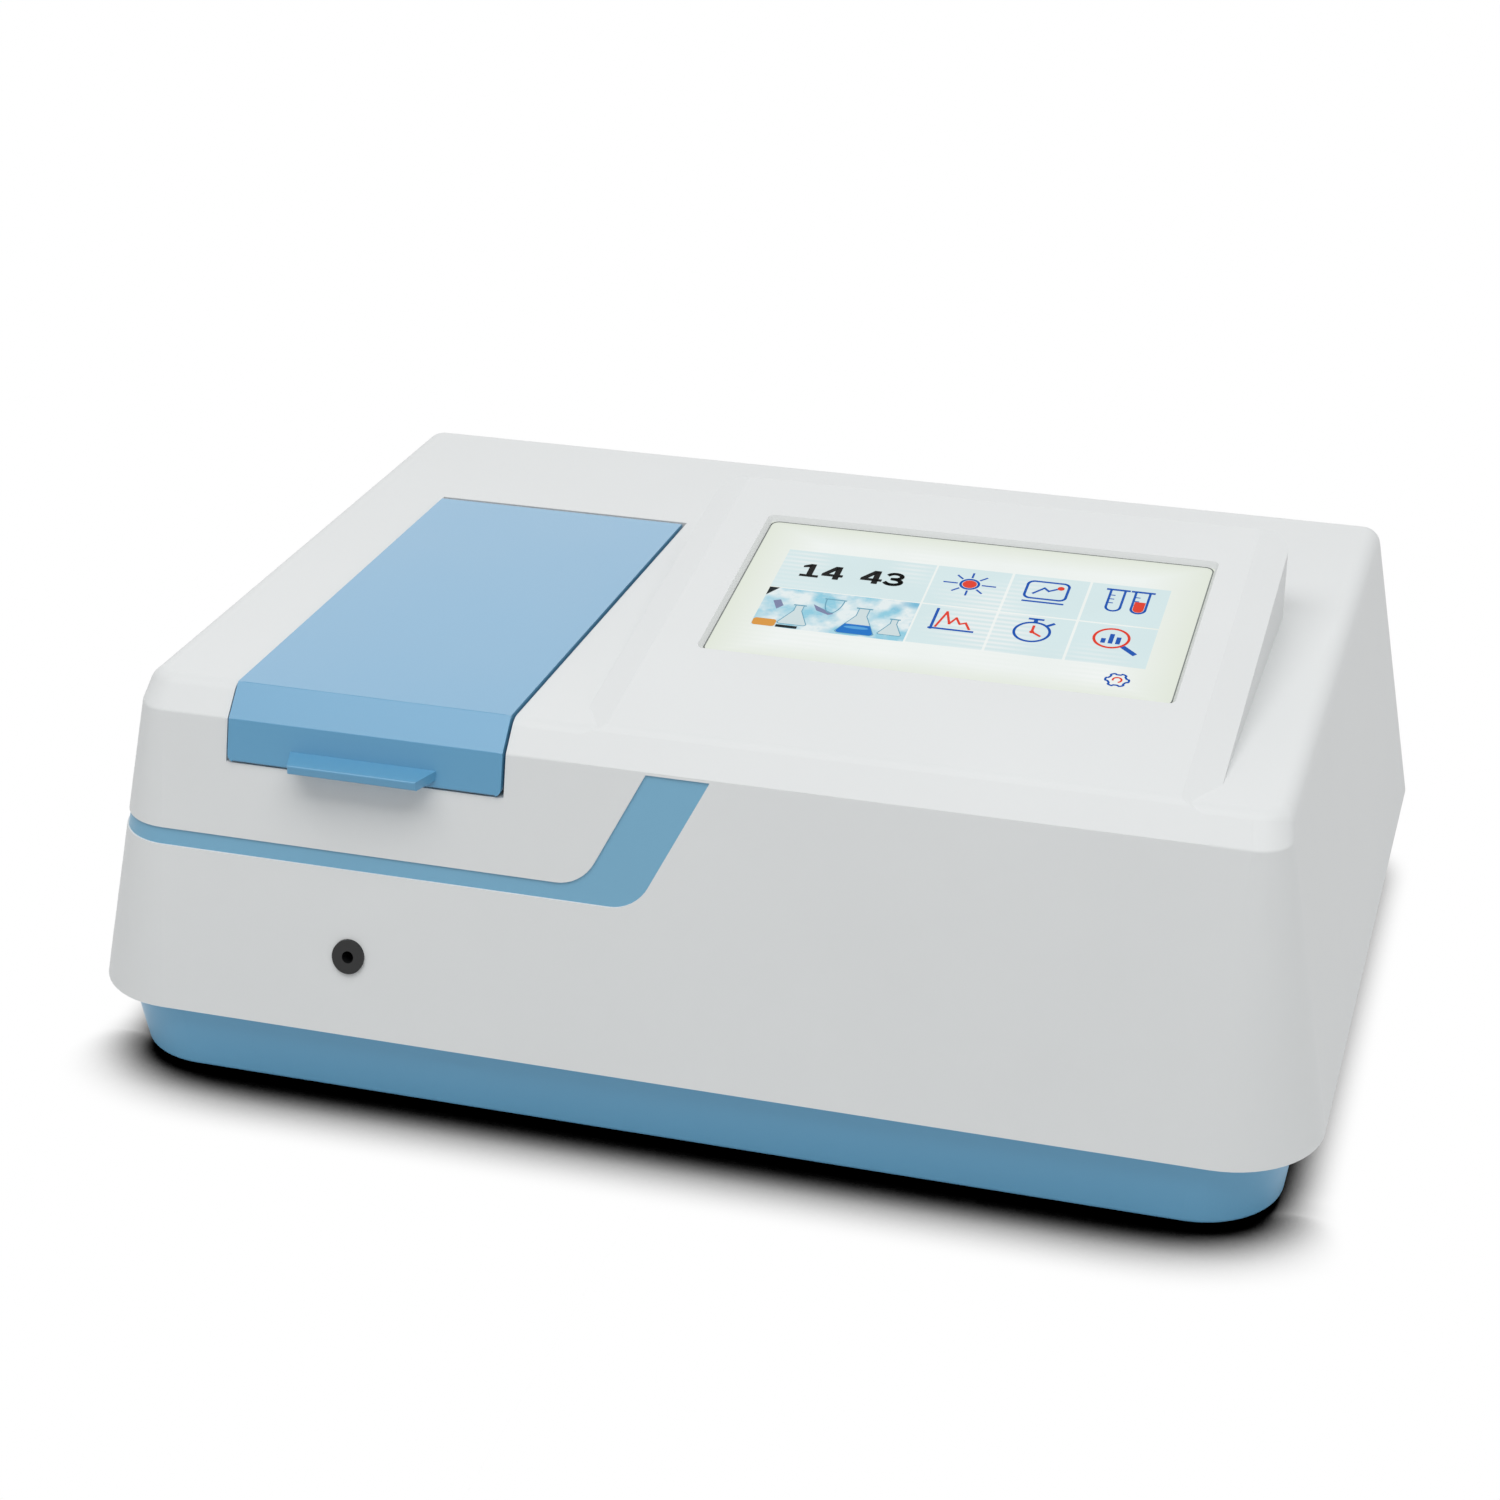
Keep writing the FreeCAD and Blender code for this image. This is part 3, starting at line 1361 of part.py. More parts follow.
def lamp_sockets():
    deuterium = rod(17.0, Vec(deuterium_x, reference_beam_y, lamp_floor),
                    Vec(deuterium_x, reference_beam_y, deuterium_socket_high))
    tungsten = box((tungsten_x - 8, tungsten_x + 8), (tungsten_y - 6, tungsten_y + 6),
                   (lamp_floor, tungsten_socket_high))
    return group([deuterium, tungsten])


def source_pivot(level):
    return Vec(source_pivot_x, source_pivot_y, level)


def source_motor():
    high = lamp_floor + 18.0
    body = rod(10.0, source_pivot(lamp_floor), source_pivot(high))
    return body.cut(rod(drive_shaft_radius + running_fit, source_pivot(high - 8), source_pivot(high + 1)))


def source_mirror_arm():
    """Shaft and arm that swing the source mirror, drawn with the mirror in the beam."""
    low = lamp_floor + 18.0
    half = flat_mirror_size / 2
    shaft = rod(drive_shaft_radius, source_pivot(low - 6), source_pivot(beam_level))
    hub = rod(5.0, source_pivot(low + 1), source_pivot(beam_level))
    blade = box((0, source_arm + half), (-5.0, -2.0), (beam_level - half, beam_level + half))
    blade = blade.cut(box((-10, 8), (-20, 20), (beam_level, top_level)))
    blade = turned(blade, Vec(0, 0, 0), Z_AXIS, 45.0)
    blade.translate(source_pivot(0))
    return shaft.multiFuse([hub, blade]).removeSplitter()


def source_mirror():
    half = flat_mirror_size / 2
    glass = box((source_arm - half, source_arm + half), (-2.0, 0.0), (beam_level - half, beam_level + half))
    glass = turned(glass, Vec(0, 0, 0), Z_AXIS, 45.0)
    glass.translate(source_pivot(0))
    return glass


# Electronics


def main_board():
    """Circuit board with its chips, each given as (from left, from front, width, depth, height)."""
    low = foot_height + base_floor + standoff_height
    high = low + board_thickness
    left = main_board_left
    front = main_board_front
    board = box((left, left + main_board_size[0]), (front, front + main_board_size[1]), (low, high))
    chips = []
    for x, y, width, depth, height in ((40, 40, 24, 24, 3), (90, 30, 14, 24, 2.5), (120, 70, 30, 20, 6),
                                       (170, 15, 30, 40, 10), (10, 10, 15, 40, 8)):
        chips.append(box((left + x, left + x + width), (front + y, front + y + depth), (high, high + height)))
    caps = [rod(4.0, Vec(left + 80 + 12 * i, front + 105, high), Vec(left + 80 + 12 * i, front + 105, high + 11))
            for i in range(4)]
    board = board.multiFuse(chips + caps)
    for x, y in board_corner_places():
        board = board.cut(rod(screw_radius + running_fit, Vec(x, y, 0), Vec(x, y, high + 1)))
    return board.removeSplitter()


def board_corner_places():
    across = (main_board_left + board_corner, main_board_left + main_board_size[0] - board_corner)
    back = (main_board_front + board_corner, main_board_front + main_board_size[1] - board_corner)
    return [(x, y) for x in across for y in back]


def board_standoffs():
    floor = foot_height + base_floor
    return [rod(3.5, Vec(x, y, floor), Vec(x, y, floor + standoff_height)) for x, y in board_corner_places()]


def power_supply():
    span_x = (supply_left, supply_left + supply_size[0])
    span_y = (supply_front, supply_front + supply_size[1])
    high = bench_top + supply_size[2]
    case = box(span_x, span_y, (bench_top, high))
    slots = []
    for row in range(8):
        y = span_y[0] + 10 + row * 10
        slots.append(box((span_x[0] + 10, span_x[1] - 10), (y, y + 3), (high - 1.5, high + 1)))
    terminals = box((span_x[0] + 12, span_x[1] - 12), (span_y[1] - 9, span_y[1] + 4), (bench_top + 6, bench_top + 18))
    return case.cut(group(slots)).fuse(terminals).removeSplitter()


# Screen stack


def touch_panel():
    return window_plate(glass_margin, (glass_low, -wall))


def lcd_module():
    return window_plate(lcd_margin, (lcd_low, glass_low))


def lcd_frame():
    outer = Part.Face(window_wire(lcd_margin + lcd_frame_flange, frame_low)).extrude(Vec(0, 0, lcd_frame_thickness))
    hole = Part.Face(window_wire(-18.0, frame_low - 1)).extrude(Vec(0, 0, 4))
    bars = []
    half_x = display_board_size[0] / 2
    half_y = window_height / 2
    for side in (-1, 1):
        x = window_x + side * (half_x - 5)
        bars.append(box((x - 6, x + 6), (window_slope - half_y, window_slope + half_y),
                        (frame_low, frame_low + lcd_frame_thickness)))
    plate = outer.cut(hole).multiFuse(bars)
    for place in display_boss_places():
        plate = plate.cut(rod(screw_radius + running_fit, place + Z_AXIS * (frame_low - 1), place))
    standoffs = []
    for place in display_board_corners():
        standoffs.append(rod(3.0, place + Z_AXIS * board_top, place + Z_AXIS * (frame_low + 0.5)))
    return on_display(plate.multiFuse(standoffs).removeSplitter())


def display_board_corners():
    x = display_board_size[0] / 2 - 5
    y = display_board_size[1] / 2 - 5
    return [Vec(window_x + i * x, window_slope + j * y, 0) for i in (-1, 1) for j in (-1, 1)]


def display_board():
    half_x = display_board_size[0] / 2
    half_y = display_board_size[1] / 2
    board = box((window_x - half_x, window_x + half_x), (window_slope - half_y, window_slope + half_y),
                (board_low, board_top))
    chips = [
        box((window_x - 12, window_x + 12), (window_slope - 12, window_slope + 12), (board_low - 3, board_low)),
        box((window_x + 30, window_x + 60), (window_slope - 34, window_slope - 26), (board_low - 6, board_low)),
        box((window_x - 60, window_x - 40), (window_slope + 5, window_slope + 30), (board_low - 2, board_low)),
    ]
    return on_display(board.multiFuse(chips).removeSplitter())


def display_screws():
    screws = []
    for place in display_boss_places():
        screws.append(on_display(screw(place + Z_AXIS * frame_low, Z_AXIS, 5.5)))
    return screws


# Rear wall. On it, local X is across, Y out of the wall and Z up from its low edge


def on_rear(shape):
    copy = shape.copy()
    copy.rotate(Vec(0, 0, 0), X_AXIS, rear_draft)
    copy.translate(Vec(0, case_depth / 2, cover_bottom))
    return copy


panel_face = -wall
panel_back = -wall - panel_sheet


def panel_screw_places():
    inset = panel_overlap / 2
    middle = (panel_left + panel_right) / 2
    xs = (panel_left - inset, middle, panel_right + inset)
    return [(x, up) for x in xs for up in (panel_low - inset, panel_high + inset)]


def fan_screw_places():
    half = fan_size / 2 - 5.0
    return [(fan_x + i * half, fan_up + j * half) for i in (-1, 1) for j in (-1, 1)]


def rear_panel():
    plate = box((panel_left - panel_overlap, panel_right + panel_overlap), (panel_back, panel_face),
                (panel_low - panel_overlap, panel_high + panel_overlap))
    cutters = [rod(fan_duct_radius, Vec(fan_x, -20, fan_up), Vec(fan_x, 5, fan_up))]
    cutters.append(box((inlet_x - 14, inlet_x + 14), (-20, 5), (inlet_up - 10.3, inlet_up + 10.3)))
    cutters.append(box((inlet_x - 6.6, inlet_x + 6.6), (-20, 5), (switch_up - 9.6, switch_up + 9.6)))
    for x, up, width, height in port_places():
        cutters.append(box((x - width / 2, x + width / 2), (-20, 5), (up - height / 2, up + height / 2)))
    for x, up in fan_screw_places() + panel_screw_places():
        cutters.append(rod(screw_radius + running_fit, Vec(x, -20, up), Vec(x, 5, up)))
    return on_rear(plate.cut(group(cutters)))


def panel_screws():
    return [on_rear(screw(Vec(x, panel_back, up), Y_AXIS, panel_sheet + wall - 0.6))
            for x, up in panel_screw_places()]


def fan_centre(out):
    return Vec(fan_x, out, fan_up)


fan_front = panel_back - fan_depth
blade_front = fan_front + 4.0
blade_rear = panel_back - 6.0


def fan_frame():
    half = fan_size / 2
    body = box((fan_x - half, fan_x + half), (fan_front, panel_back), (fan_up - half, fan_up + half))
    body = body.makeFillet(4.0, [e for e in body.Edges if abs(e.BoundBox.YLength - fan_depth) < 1e-3])
    body = body.cut(rod(fan_duct_radius, fan_centre(fan_front - 1), fan_centre(1)))
    waist = box((fan_x - half - 1, fan_x + half + 1), (fan_front + 4, panel_back - 4),
                (fan_up - half - 1, fan_up + half + 1))
    keep = rod(fan_duct_radius + 1.6, fan_centre(fan_front), fan_centre(1))
    body = body.cut(waist.cut(keep))
    struts = [box((fan_x - fan_duct_radius - 1, fan_x + fan_duct_radius + 1), (fan_front, fan_front + 2.5),
                  (fan_up - 1.5, fan_up + 1.5))]
    struts.append(turned(struts[0], fan_centre(0), Y_AXIS, 90.0))
    motor = rod(fan_hub_radius, fan_centre(fan_front), fan_centre(fan_front + 3.0))
    axle = rod(1.5, fan_centre(fan_front), fan_centre(blade_rear - 2.0))
    body = body.multiFuse(struts + [motor, axle])
    for x, up in fan_screw_places():
        body = body.cut(rod(screw_radius + running_fit, Vec(x, fan_front - 1, up), Vec(x, 1, up)))
    return on_rear(body.removeSplitter())


def fan_rotor():
    hub = rod(fan_hub_radius, fan_centre(blade_front), fan_centre(blade_rear))
    tip = fan_duct_radius - 0.8
    chord = blade_rear - blade_front - 2.0
    blades = []
    for index in range(fan_blades):
        low = blade_front + 1.0
        root_points = [Vec(-4.5, low, 0), Vec(-2.9, low, 0), Vec(4.5, low + chord, 0), Vec(2.9, low + chord, 0)]
        tip_points = [Vec(-9.0, low + 1, 0), Vec(-7.2, low + 1, 0), Vec(8.6, low + chord - 1, 0),
                      Vec(6.8, low + chord - 1, 0)]
        wires = []
        for points, height in ((root_points, fan_hub_radius - 2.0), (tip_points, tip + 4.0)):
            wires.append(Part.makePolygon([p + Vec(0, 0, height) for p in points + [points[0]]]))
        blade = Part.makeLoft(wires, True, True)
        blade.rotate(Vec(0, 0, 0), Y_AXIS, 360.0 / fan_blades * index)
        blade.translate(Vec(fan_x, 0, fan_up))
        blades.append(blade)
    sweep = rod(tip, fan_centre(blade_front), fan_centre(blade_rear))
    rotor = hub.multiFuse([blade.common(sweep) for blade in blades])
    rotor = rotor.cut(rod(1.5 + running_fit, fan_centre(fan_front - 1), fan_centre(blade_rear - 1.5)))
    return on_rear(rotor.removeSplitter())


def fan_guard():
    """Wire guard in the recess of the rear wall: flat rings joined by a cross."""
    rings = []
    for radius in (9.0, 16.5, 24.0):
        rings.append(ring(radius, radius - 1.6, fan_centre(panel_face), fan_centre(panel_face + 1.6)))
    half = fan_size / 2 - 5.0
    reach = half * math.sqrt(2)
    bars = []
    for angle in (45.0, -45.0):
        bar = box((fan_x - reach, fan_x + reach), (panel_face, panel_face + 1.6), (fan_up - 1.0, fan_up + 1.0))
        bars.append(turned(bar, fan_centre(0), Y_AXIS, angle))
    for x, up in fan_screw_places():
        bars.append(rod(4.0, Vec(x, panel_face, up), Vec(x, panel_face + 1.6, up)))
    guard = rings[0].multiFuse(rings[1:] + bars)
    for x, up in fan_screw_places():
        guard = guard.cut(rod(screw_radius + running_fit, Vec(x, -20, up), Vec(x, 5, up)))
    return on_rear(guard.removeSplitter())


def fan_screws():
    seat = panel_face + 1.6
    return [on_rear(screw(Vec(x, seat, up), Y_AXIS * -1, 12.0)) for x, up in fan_screw_places()]


def power_inlet():
    """Mains inlet: flange, body, and three blades in the socket."""
    flange = box((inlet_x - 25, inlet_x + 25), (panel_face, panel_face + 2.2), (inlet_up - 11.5, inlet_up + 11.5))
    flange = flange.makeFillet(3.0, [e for e in flange.Edges if abs(e.BoundBox.YLength - 2.2) < 1e-3])
    body = box((inlet_x - 13.9, inlet_x + 13.9), (panel_back - 16, panel_face + 1), (inlet_up - 10.2, inlet_up + 10.2))
    inlet = flange.fuse(body)
    socket_points = [(-12.2, -8.0), (12.2, -8.0), (12.2, 3.5), (8.0, 8.0), (-8.0, 8.0), (-12.2, 3.5)]
    socket = prism([Vec(inlet_x + x, panel_back - 14, inlet_up + up) for x, up in socket_points], Vec(0, 40, 0))
    inlet = inlet.cut(socket)
    blades = []
    for x, up in ((-7.0, -2.5), (0.0, 2.5), (7.0, -2.5)):
        place = Vec(inlet_x + x, panel_back - 16, inlet_up + up)
        blades.append(Part.makeBox(2.0, 14.0, 4.0, place - Vec(1.0, 0, 2.0)))
    inlet = inlet.multiFuse(blades)
    for side in (-1, 1):
        x = inlet_x + side * 20.0
        inlet = inlet.cut(rod(screw_radius + running_fit, Vec(x, -20, inlet_up), Vec(x, 5, inlet_up)))
    return on_rear(inlet.removeSplitter())


def rocker_centre():
    return Vec(inlet_x, panel_face - 2.0, switch_up)


rocker_tilt = 9.0


def switch_frame():
    bezel = box((inlet_x - 7.6, inlet_x + 7.6), (panel_face, panel_face + 1.6), (switch_up - 10.6, switch_up + 10.6))
    body = box((inlet_x - 6.5, inlet_x + 6.5), (panel_back - 14, panel_face + 1), (switch_up - 9.5, switch_up + 9.5))
    frame = bezel.fuse(body)
    well = box((inlet_x - 5.3, inlet_x + 5.3), (panel_face - 9, panel_face + 5), (switch_up - 8.6, switch_up + 8.6))
    return on_rear(frame.cut(well).removeSplitter())


def power_rocker():
    """Rocker with two flats that meet at a shallow valley, tilted to its off side."""
    centre = rocker_centre()
    outline = [(-7.6, -1.5), (-7.6, 4.6), (0.0, 3.6), (7.6, 4.6), (7.6, -1.5), (0.0, -4.5)]
    points = [Vec(inlet_x - 5.0, centre.y + out, centre.z + up) for up, out in outline]
    rocker = prism(points, Vec(10.0, 0, 0))
    return on_rear(turned(rocker, centre, X_AXIS, -rocker_tilt))


def port_places():
    return [(ports_x - 14.0, ports_up, 14.0, 7.0), (ports_x + 6.0, ports_up, 14.0, 7.0),
            (ports_x - 4.0, ports_up + 24.0, 16.4, 14.0)]


def data_ports():
    """Three sockets on the small board that carries them inside the rear panel."""
    shells = [on_rear(port_board())]
    for x, up, width, height in port_places():
        half_x = width / 2 - 0.1
        half_up = height / 2 - 0.1
        shell = box((x - half_x, x + half_x), (panel_back - 12, panel_face + 0.8), (up - half_up, up + half_up))
        mouth = box((x - half_x + 0.8, x + half_x - 0.8), (panel_back - 9, 5), (up - half_up + 0.8, up + half_up - 0.8))
        tongue = box((x - half_x + 1.5, x + half_x - 1.5), (panel_back - 10, panel_face - 1), (up - 0.2, up + 1.4))
        shells.append(on_rear(shell.cut(mouth).fuse(tongue).removeSplitter()))
    return group(shells)


def port_board():
    low = ports_up - 3.5
    span = (ports_x - 24.0, ports_x + 16.0)
    back = panel_back - 12 - board_thickness
    return box(span, (back, back + board_thickness), (low, ports_up + 34.0))


nodes = {
    "top_cover": top_cover,
    "accent_band": accent_band,
    "base_tray": base_tray,
    "rubber_feet": rubber_feet,
    "case_screws": case_screws,
    "sample_lid": sample_lid,
    "hinge_brackets": hinge_brackets,
    "hinge_pins": hinge_pins,
    "lid_seal": lid_seal,
    "compartment_well": compartment_well,
    "rod_bushing": rod_bushing,
    "cell_holders": cell_holders,
    "quartz_windows": quartz_windows,
    "window_retainers": window_retainers,
    "optical_bench": optical_bench,
    "pillars_and_standoffs": pillars_and_standoffs,
    "bench_screws": bench_screws,
    "lenses": lenses,
    "lens_mounts": lens_mounts,
    "detectors": detectors,
    "detector_boards": detector_boards,
    "detector_brackets": detector_brackets,
    "fold_mirrors": fold_mirrors,
    "beam_splitter": beam_splitter,
    "mirror_posts": mirror_posts,
    "mono_housing": mono_housing,
    "mono_cover": mono_cover,
    "slit_plates": slit_plates,
    "concave_mirrors": concave_mirrors,
    "concave_mounts": concave_mounts,
    "grating_table": grating_table,
    "grating": grating,
    "grating_bearing": grating_bearing,
    "drive_pinion": drive_pinion,
    "drive_motor": drive_motor,
    "filter_wheel": filter_wheel,
    "filter_glasses": filter_glasses,
    "filter_motor": filter_motor,
    "lamp_house": lamp_house,
    "lamp_house_cover": lamp_house_cover,
    "deuterium_lamp": deuterium_lamp,
    "tungsten_lamp": tungsten_lamp,
    "lamp_sockets": lamp_sockets,
    "source_motor": source_motor,
    "source_mirror_arm": source_mirror_arm,
    "source_mirror": source_mirror,
    "main_board": main_board,
    "power_supply": power_supply,
    "touch_panel": touch_panel,
    "lcd_module": lcd_module,
    "lcd_frame": lcd_frame,
    "display_board": display_board,
    "rear_panel": rear_panel,
    "fan_frame": fan_frame,
    "fan_rotor": fan_rotor,
    "fan_guard": fan_guard,
    "power_inlet": power_inlet,
    "switch_frame": switch_frame,
    "power_rocker": power_rocker,
    "data_ports": data_ports,
}

os.makedirs("parts", exist_ok=True)
for name, make in nodes.items():
    shape = make()
    shape.exportStep(os.path.join("parts", name + ".step"))
    print(name, len(shape.Solids), "solids", round(shape.Volume), "mm3", "valid" if shape.isValid() else "NOT VALID")
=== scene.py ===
import json
import math

import bmesh
import bpy
from mathutils import Matrix, Vector


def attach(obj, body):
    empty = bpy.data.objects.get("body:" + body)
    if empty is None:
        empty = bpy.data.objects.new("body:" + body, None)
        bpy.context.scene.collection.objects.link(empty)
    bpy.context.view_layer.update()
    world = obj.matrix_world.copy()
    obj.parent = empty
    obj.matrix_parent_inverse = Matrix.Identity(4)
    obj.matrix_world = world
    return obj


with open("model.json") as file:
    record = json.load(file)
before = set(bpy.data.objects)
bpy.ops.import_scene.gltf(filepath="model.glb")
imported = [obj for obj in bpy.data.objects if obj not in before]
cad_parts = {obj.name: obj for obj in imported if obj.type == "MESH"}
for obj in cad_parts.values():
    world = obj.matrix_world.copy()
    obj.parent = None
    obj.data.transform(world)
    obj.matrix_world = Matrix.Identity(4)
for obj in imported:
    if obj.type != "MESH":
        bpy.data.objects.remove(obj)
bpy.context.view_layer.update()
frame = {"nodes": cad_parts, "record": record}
nodes = frame["nodes"]

MM = 0.001

# Screen panel: its tilt, where its low edge starts, and the window's centre along the slope
screen_tilt = math.radians(9.8)
screen_front = -174.0
screen_level = 194.0
window_x = 93.0
window_slope = 143.5
glass_drop = -3.0
window_width = 222.0
window_height = 124.0

# Picture on the screen: left, low, right and high edges of its tiles, from the window's centre
clock_tile = (-95.0, 1.8, -20.6, 37.2)
glassware_tile = (-95.0, -34.0, -20.6, 1.0)
symbol_columns = ((-19.6, 16.9), (18.2, 55.0), (56.3, 94.0))
symbol_rows = ((-33.5, 1.0), (2.2, 37.2))
tile_lift = 0.02
ink_lift = 0.10
sheet_thickness = 0.05

# Camera as the photograph was taken: its place in millimetres, and its own right, up and back directions
camera_place = (377.5, -1376.4, 771.2)
camera_axes = ((0.95993, 0.28019, 0.00520), (-0.12157, 0.39964, 0.90857), (0.25250, -0.87280, 0.41769))
camera_lens = 74.55

# Soft boxes: place, target, size and power
SOFT_BOXES = {
    "key_front_above": ((0.05, -0.95, 2.4), (0.0, 0.0, 0.1), (3.2, 1.5), 45),
    "fill_right": ((2.3, 0.5, 0.8), (0.1, 0.0, 0.1), (1.2, 1.2), 4),
    "back_sheen": ((-0.65, 2.3, 1.15), (0.0, 0.0, 0.2), (3.0, 0.9), 5),
}
sky_strength = 0.42
floor_tone = 0.7


# Colours


def tone(code):
    """Linear colour from a six-letter sRGB code."""
    parts = [int(code[i:i + 2], 16) / 255 for i in (0, 2, 4)]
    linear = [p / 12.92 if p <= 0.04045 else ((p + 0.055) / 1.055) ** 2.4 for p in parts]
    return (*linear, 1.0)


CASE_WHITE = tone("DFE1E1")
PLASTIC_BLUE = tone("5698BE")
BAND_BLUE = tone("76ABC8")
# Base blue: painted lighter than its measured colour, to offset the shade that falls on the base under the
# cover's overhang.
BASE_BLUE_SHADE_LIFTED = tone("67A8CD")


# Shader maths


class Signal:
    """A shader socket that number maths can be written on."""

    def __init__(self, finish, socket):
        self.finish = finish
        self.socket = socket

    def maths(self, operation, *others):
        return self.finish.node("ShaderNodeMath", {"operation": operation}, [self, *others])

    def __add__(self, other):
        return self.maths("ADD", other)

    def __radd__(self, other):
        return self.maths("ADD", other)

    def __sub__(self, other):
        return self.maths("SUBTRACT", other)

    def __rsub__(self, other):
        return self.finish.node("ShaderNodeMath", {"operation": "SUBTRACT"}, [other, self])

    def __mul__(self, other):
        return self.maths("MULTIPLY", other)

    def __rmul__(self, other):
        return self.maths("MULTIPLY", other)

    def __pow__(self, other):
        return self.maths("POWER", other)

    def above(self, level):
        return self.maths("GREATER_THAN", level)

    def clamped(self):
        return self.finish.node("ShaderNodeClamp", {}, {"Value": self})


class Finish:
    """The nodes of one material, or of the world."""

    def __init__(self, name, world=None):
        self.holder = world or bpy.data.materials.new(name)
        self.holder.use_nodes = True
        self.tree = self.holder.node_tree
        self.tree.nodes.clear()
        self.output = self.tree.nodes.new("ShaderNodeOutputWorld" if world else "ShaderNodeOutputMaterial")
        self.place = None

    def node(self, kind, settings, sockets=(), out=0):
        """Adds a node: its settings first, then values or links for its inputs."""
        made = self.tree.nodes.new(kind)
        for key, value in settings.items():
            setattr(made, key, value)
        pairs = sockets.items() if isinstance(sockets, dict) else enumerate(sockets)
        for key, value in pairs:
            if isinstance(value, Signal):
                self.tree.links.new(value.socket, made.inputs[key])
            else:
                made.inputs[key].default_value = value
        return Signal(self, made.outputs[out])

    def point(self):
        """Position on the object, in metres, in the object's own frame."""
        if self.place is None:
            self.place = self.node("ShaderNodeTexCoord", {}, (), "Object")
        return self.place

    def axis(self, name):
        """One coordinate of the position: X, Y or Z."""
        return self.node("ShaderNodeSeparateXYZ", {}, [self.point()], name)

    def seen_directly(self):
        """One for what the camera sees, also in a mirror or through glass, and zero for other light."""
        kinds = ("Is Camera Ray", "Is Glossy Ray", "Is Transmission Ray")
        rays = [self.node("ShaderNodeLightPath", {}, (), kind) for kind in kinds]
        return rays[0].maths("MAXIMUM", rays[1]).maths("MAXIMUM", rays[2])

    def close(self, shader):
        self.tree.links.new(shader.socket, self.output.inputs["Surface"])
        return self.holder

    def noise(self, size, detail=2.0, roughness=0.5, at=None):
        """Soft noise whose blotches are about size metres across."""
        sockets = {"Vector": at or self.point(), "Scale": 1 / size, "Detail": detail, "Roughness": roughness}
        return self.node("ShaderNodeTexNoise", {}, sockets, "Fac")

    def mix(self, factor, first, second, blend="MIX"):
        settings = {"data_type": "RGBA", "blend_type": blend}
        return self.node("ShaderNodeMix", settings, {0: factor, 6: first, 7: second}, 2)

    def bump(self, height, depth, strength=1.0, under=None):
        """Normal from a height signal, where depth is in metres."""
        sockets = {"Strength": strength, "Distance": depth, "Height": height}
        if under is not None:
            sockets["Normal"] = under
        return self.node("ShaderNodeBump", {}, sockets)

    def surface(self, **sockets):
        """Ends the material in a Principled shader."""
        names = {key.replace("_", " ").title().replace("Ior", "IOR"): value for key, value in sockets.items()}
        return self.close(self.node("ShaderNodeBsdfPrincipled", {}, names))


def shade(colour, factor):
    return (*[min(c * factor, 1.0) for c in colour[:3]], 1.0)


# Finishes


def moulded_plastic(name, colour, roughness=0.42, coat=0.15, grain=0.00035, depth=0.000012):
    """Injection-moulded shell: fine spark-eroded grain, faint flow marks and cloudy gloss."""
    finish = Finish(name)
    cloud = finish.noise(0.09, 3.0)
    fine = finish.noise(grain, 2.0, 0.6)
    drift = finish.noise(0.012, 2.0)
    tint = finish.mix(cloud, shade(colour, 0.975), shade(colour, 1.02))
    speck = finish.mix(fine * 0.10, tint, shade(colour, 0.90))
    gloss = cloud * 0.06 + fine * 0.10 + (roughness - 0.08)
    wave = finish.bump(drift, 0.00006, 0.5)
    normal = finish.bump(fine, depth, 0.8, wave)
    return finish.surface(base_color=speck, roughness=gloss, normal=normal,
                          coat_weight=coat, coat_roughness=0.28)


def brushed_metal(name, colour, roughness=0.32, along=(1.0, 0.06, 0.06)):
    """Metal with fine lines along X and a little cloudiness."""
    finish = Finish(name)
    stretched = finish.node("ShaderNodeMapping", {}, {"Vector": finish.point(), "Scale": along})
    lines = finish.noise(0.0005, 4.0, 0.7, stretched)
    cloud = finish.noise(0.02, 2.0)
    tint = finish.mix(cloud, shade(colour, 0.9), shade(colour, 1.05))
    gloss = lines * 0.16 + cloud * 0.08 + (roughness - 0.1)
    return finish.surface(base_color=tint, metallic=1.0, roughness=gloss,
                          normal=finish.bump(lines, 0.00002, 0.6))


def cast_metal(name, colour):
    """Sand-cast aluminium, pebbled and dull."""
    finish = Finish(name)
    pebble = finish.noise(0.0016, 5.0, 0.65)
    cloud = finish.noise(0.03, 3.0)
    tint = finish.mix(cloud, shade(colour, 0.8), shade(colour, 1.1))
    gloss = pebble * 0.3 + 0.35
    return finish.surface(base_color=tint, metallic=1.0, roughness=gloss,
                          normal=finish.bump(pebble, 0.00015, 0.7))


def black_coating(name, colour, metallic=0.0, roughness=0.5):
    """Anodised or powder-coated black with a fine pebble."""
    finish = Finish(name)
    pebble = finish.noise(0.0006, 3.0, 0.6)
    cloud = finish.noise(0.025, 2.0)
    tint = finish.mix(cloud, shade(colour, 0.8), shade(colour, 1.3))
    gloss = pebble * 0.18 + (roughness - 0.09)
    return finish.surface(base_color=tint, metallic=metallic, roughness=gloss,
                          normal=finish.bump(pebble, 0.00004, 0.6))


def soft_rubber(name, colour, cell=0.0008):
    """Foam or rubber with open pores."""
    finish = Finish(name)
    pores = finish.node("ShaderNodeTexVoronoi", {}, {"Vector": finish.point(), "Scale": 1 / cell}, "Distance")
    cloud = finish.noise(0.01, 2.0)
    tint = finish.mix(cloud, shade(colour, 0.7), shade(colour, 1.4))
    return finish.surface(base_color=tint, roughness=pores * 0.2 + 0.7,
                          normal=finish.bump(pores, 0.0001, 0.7))


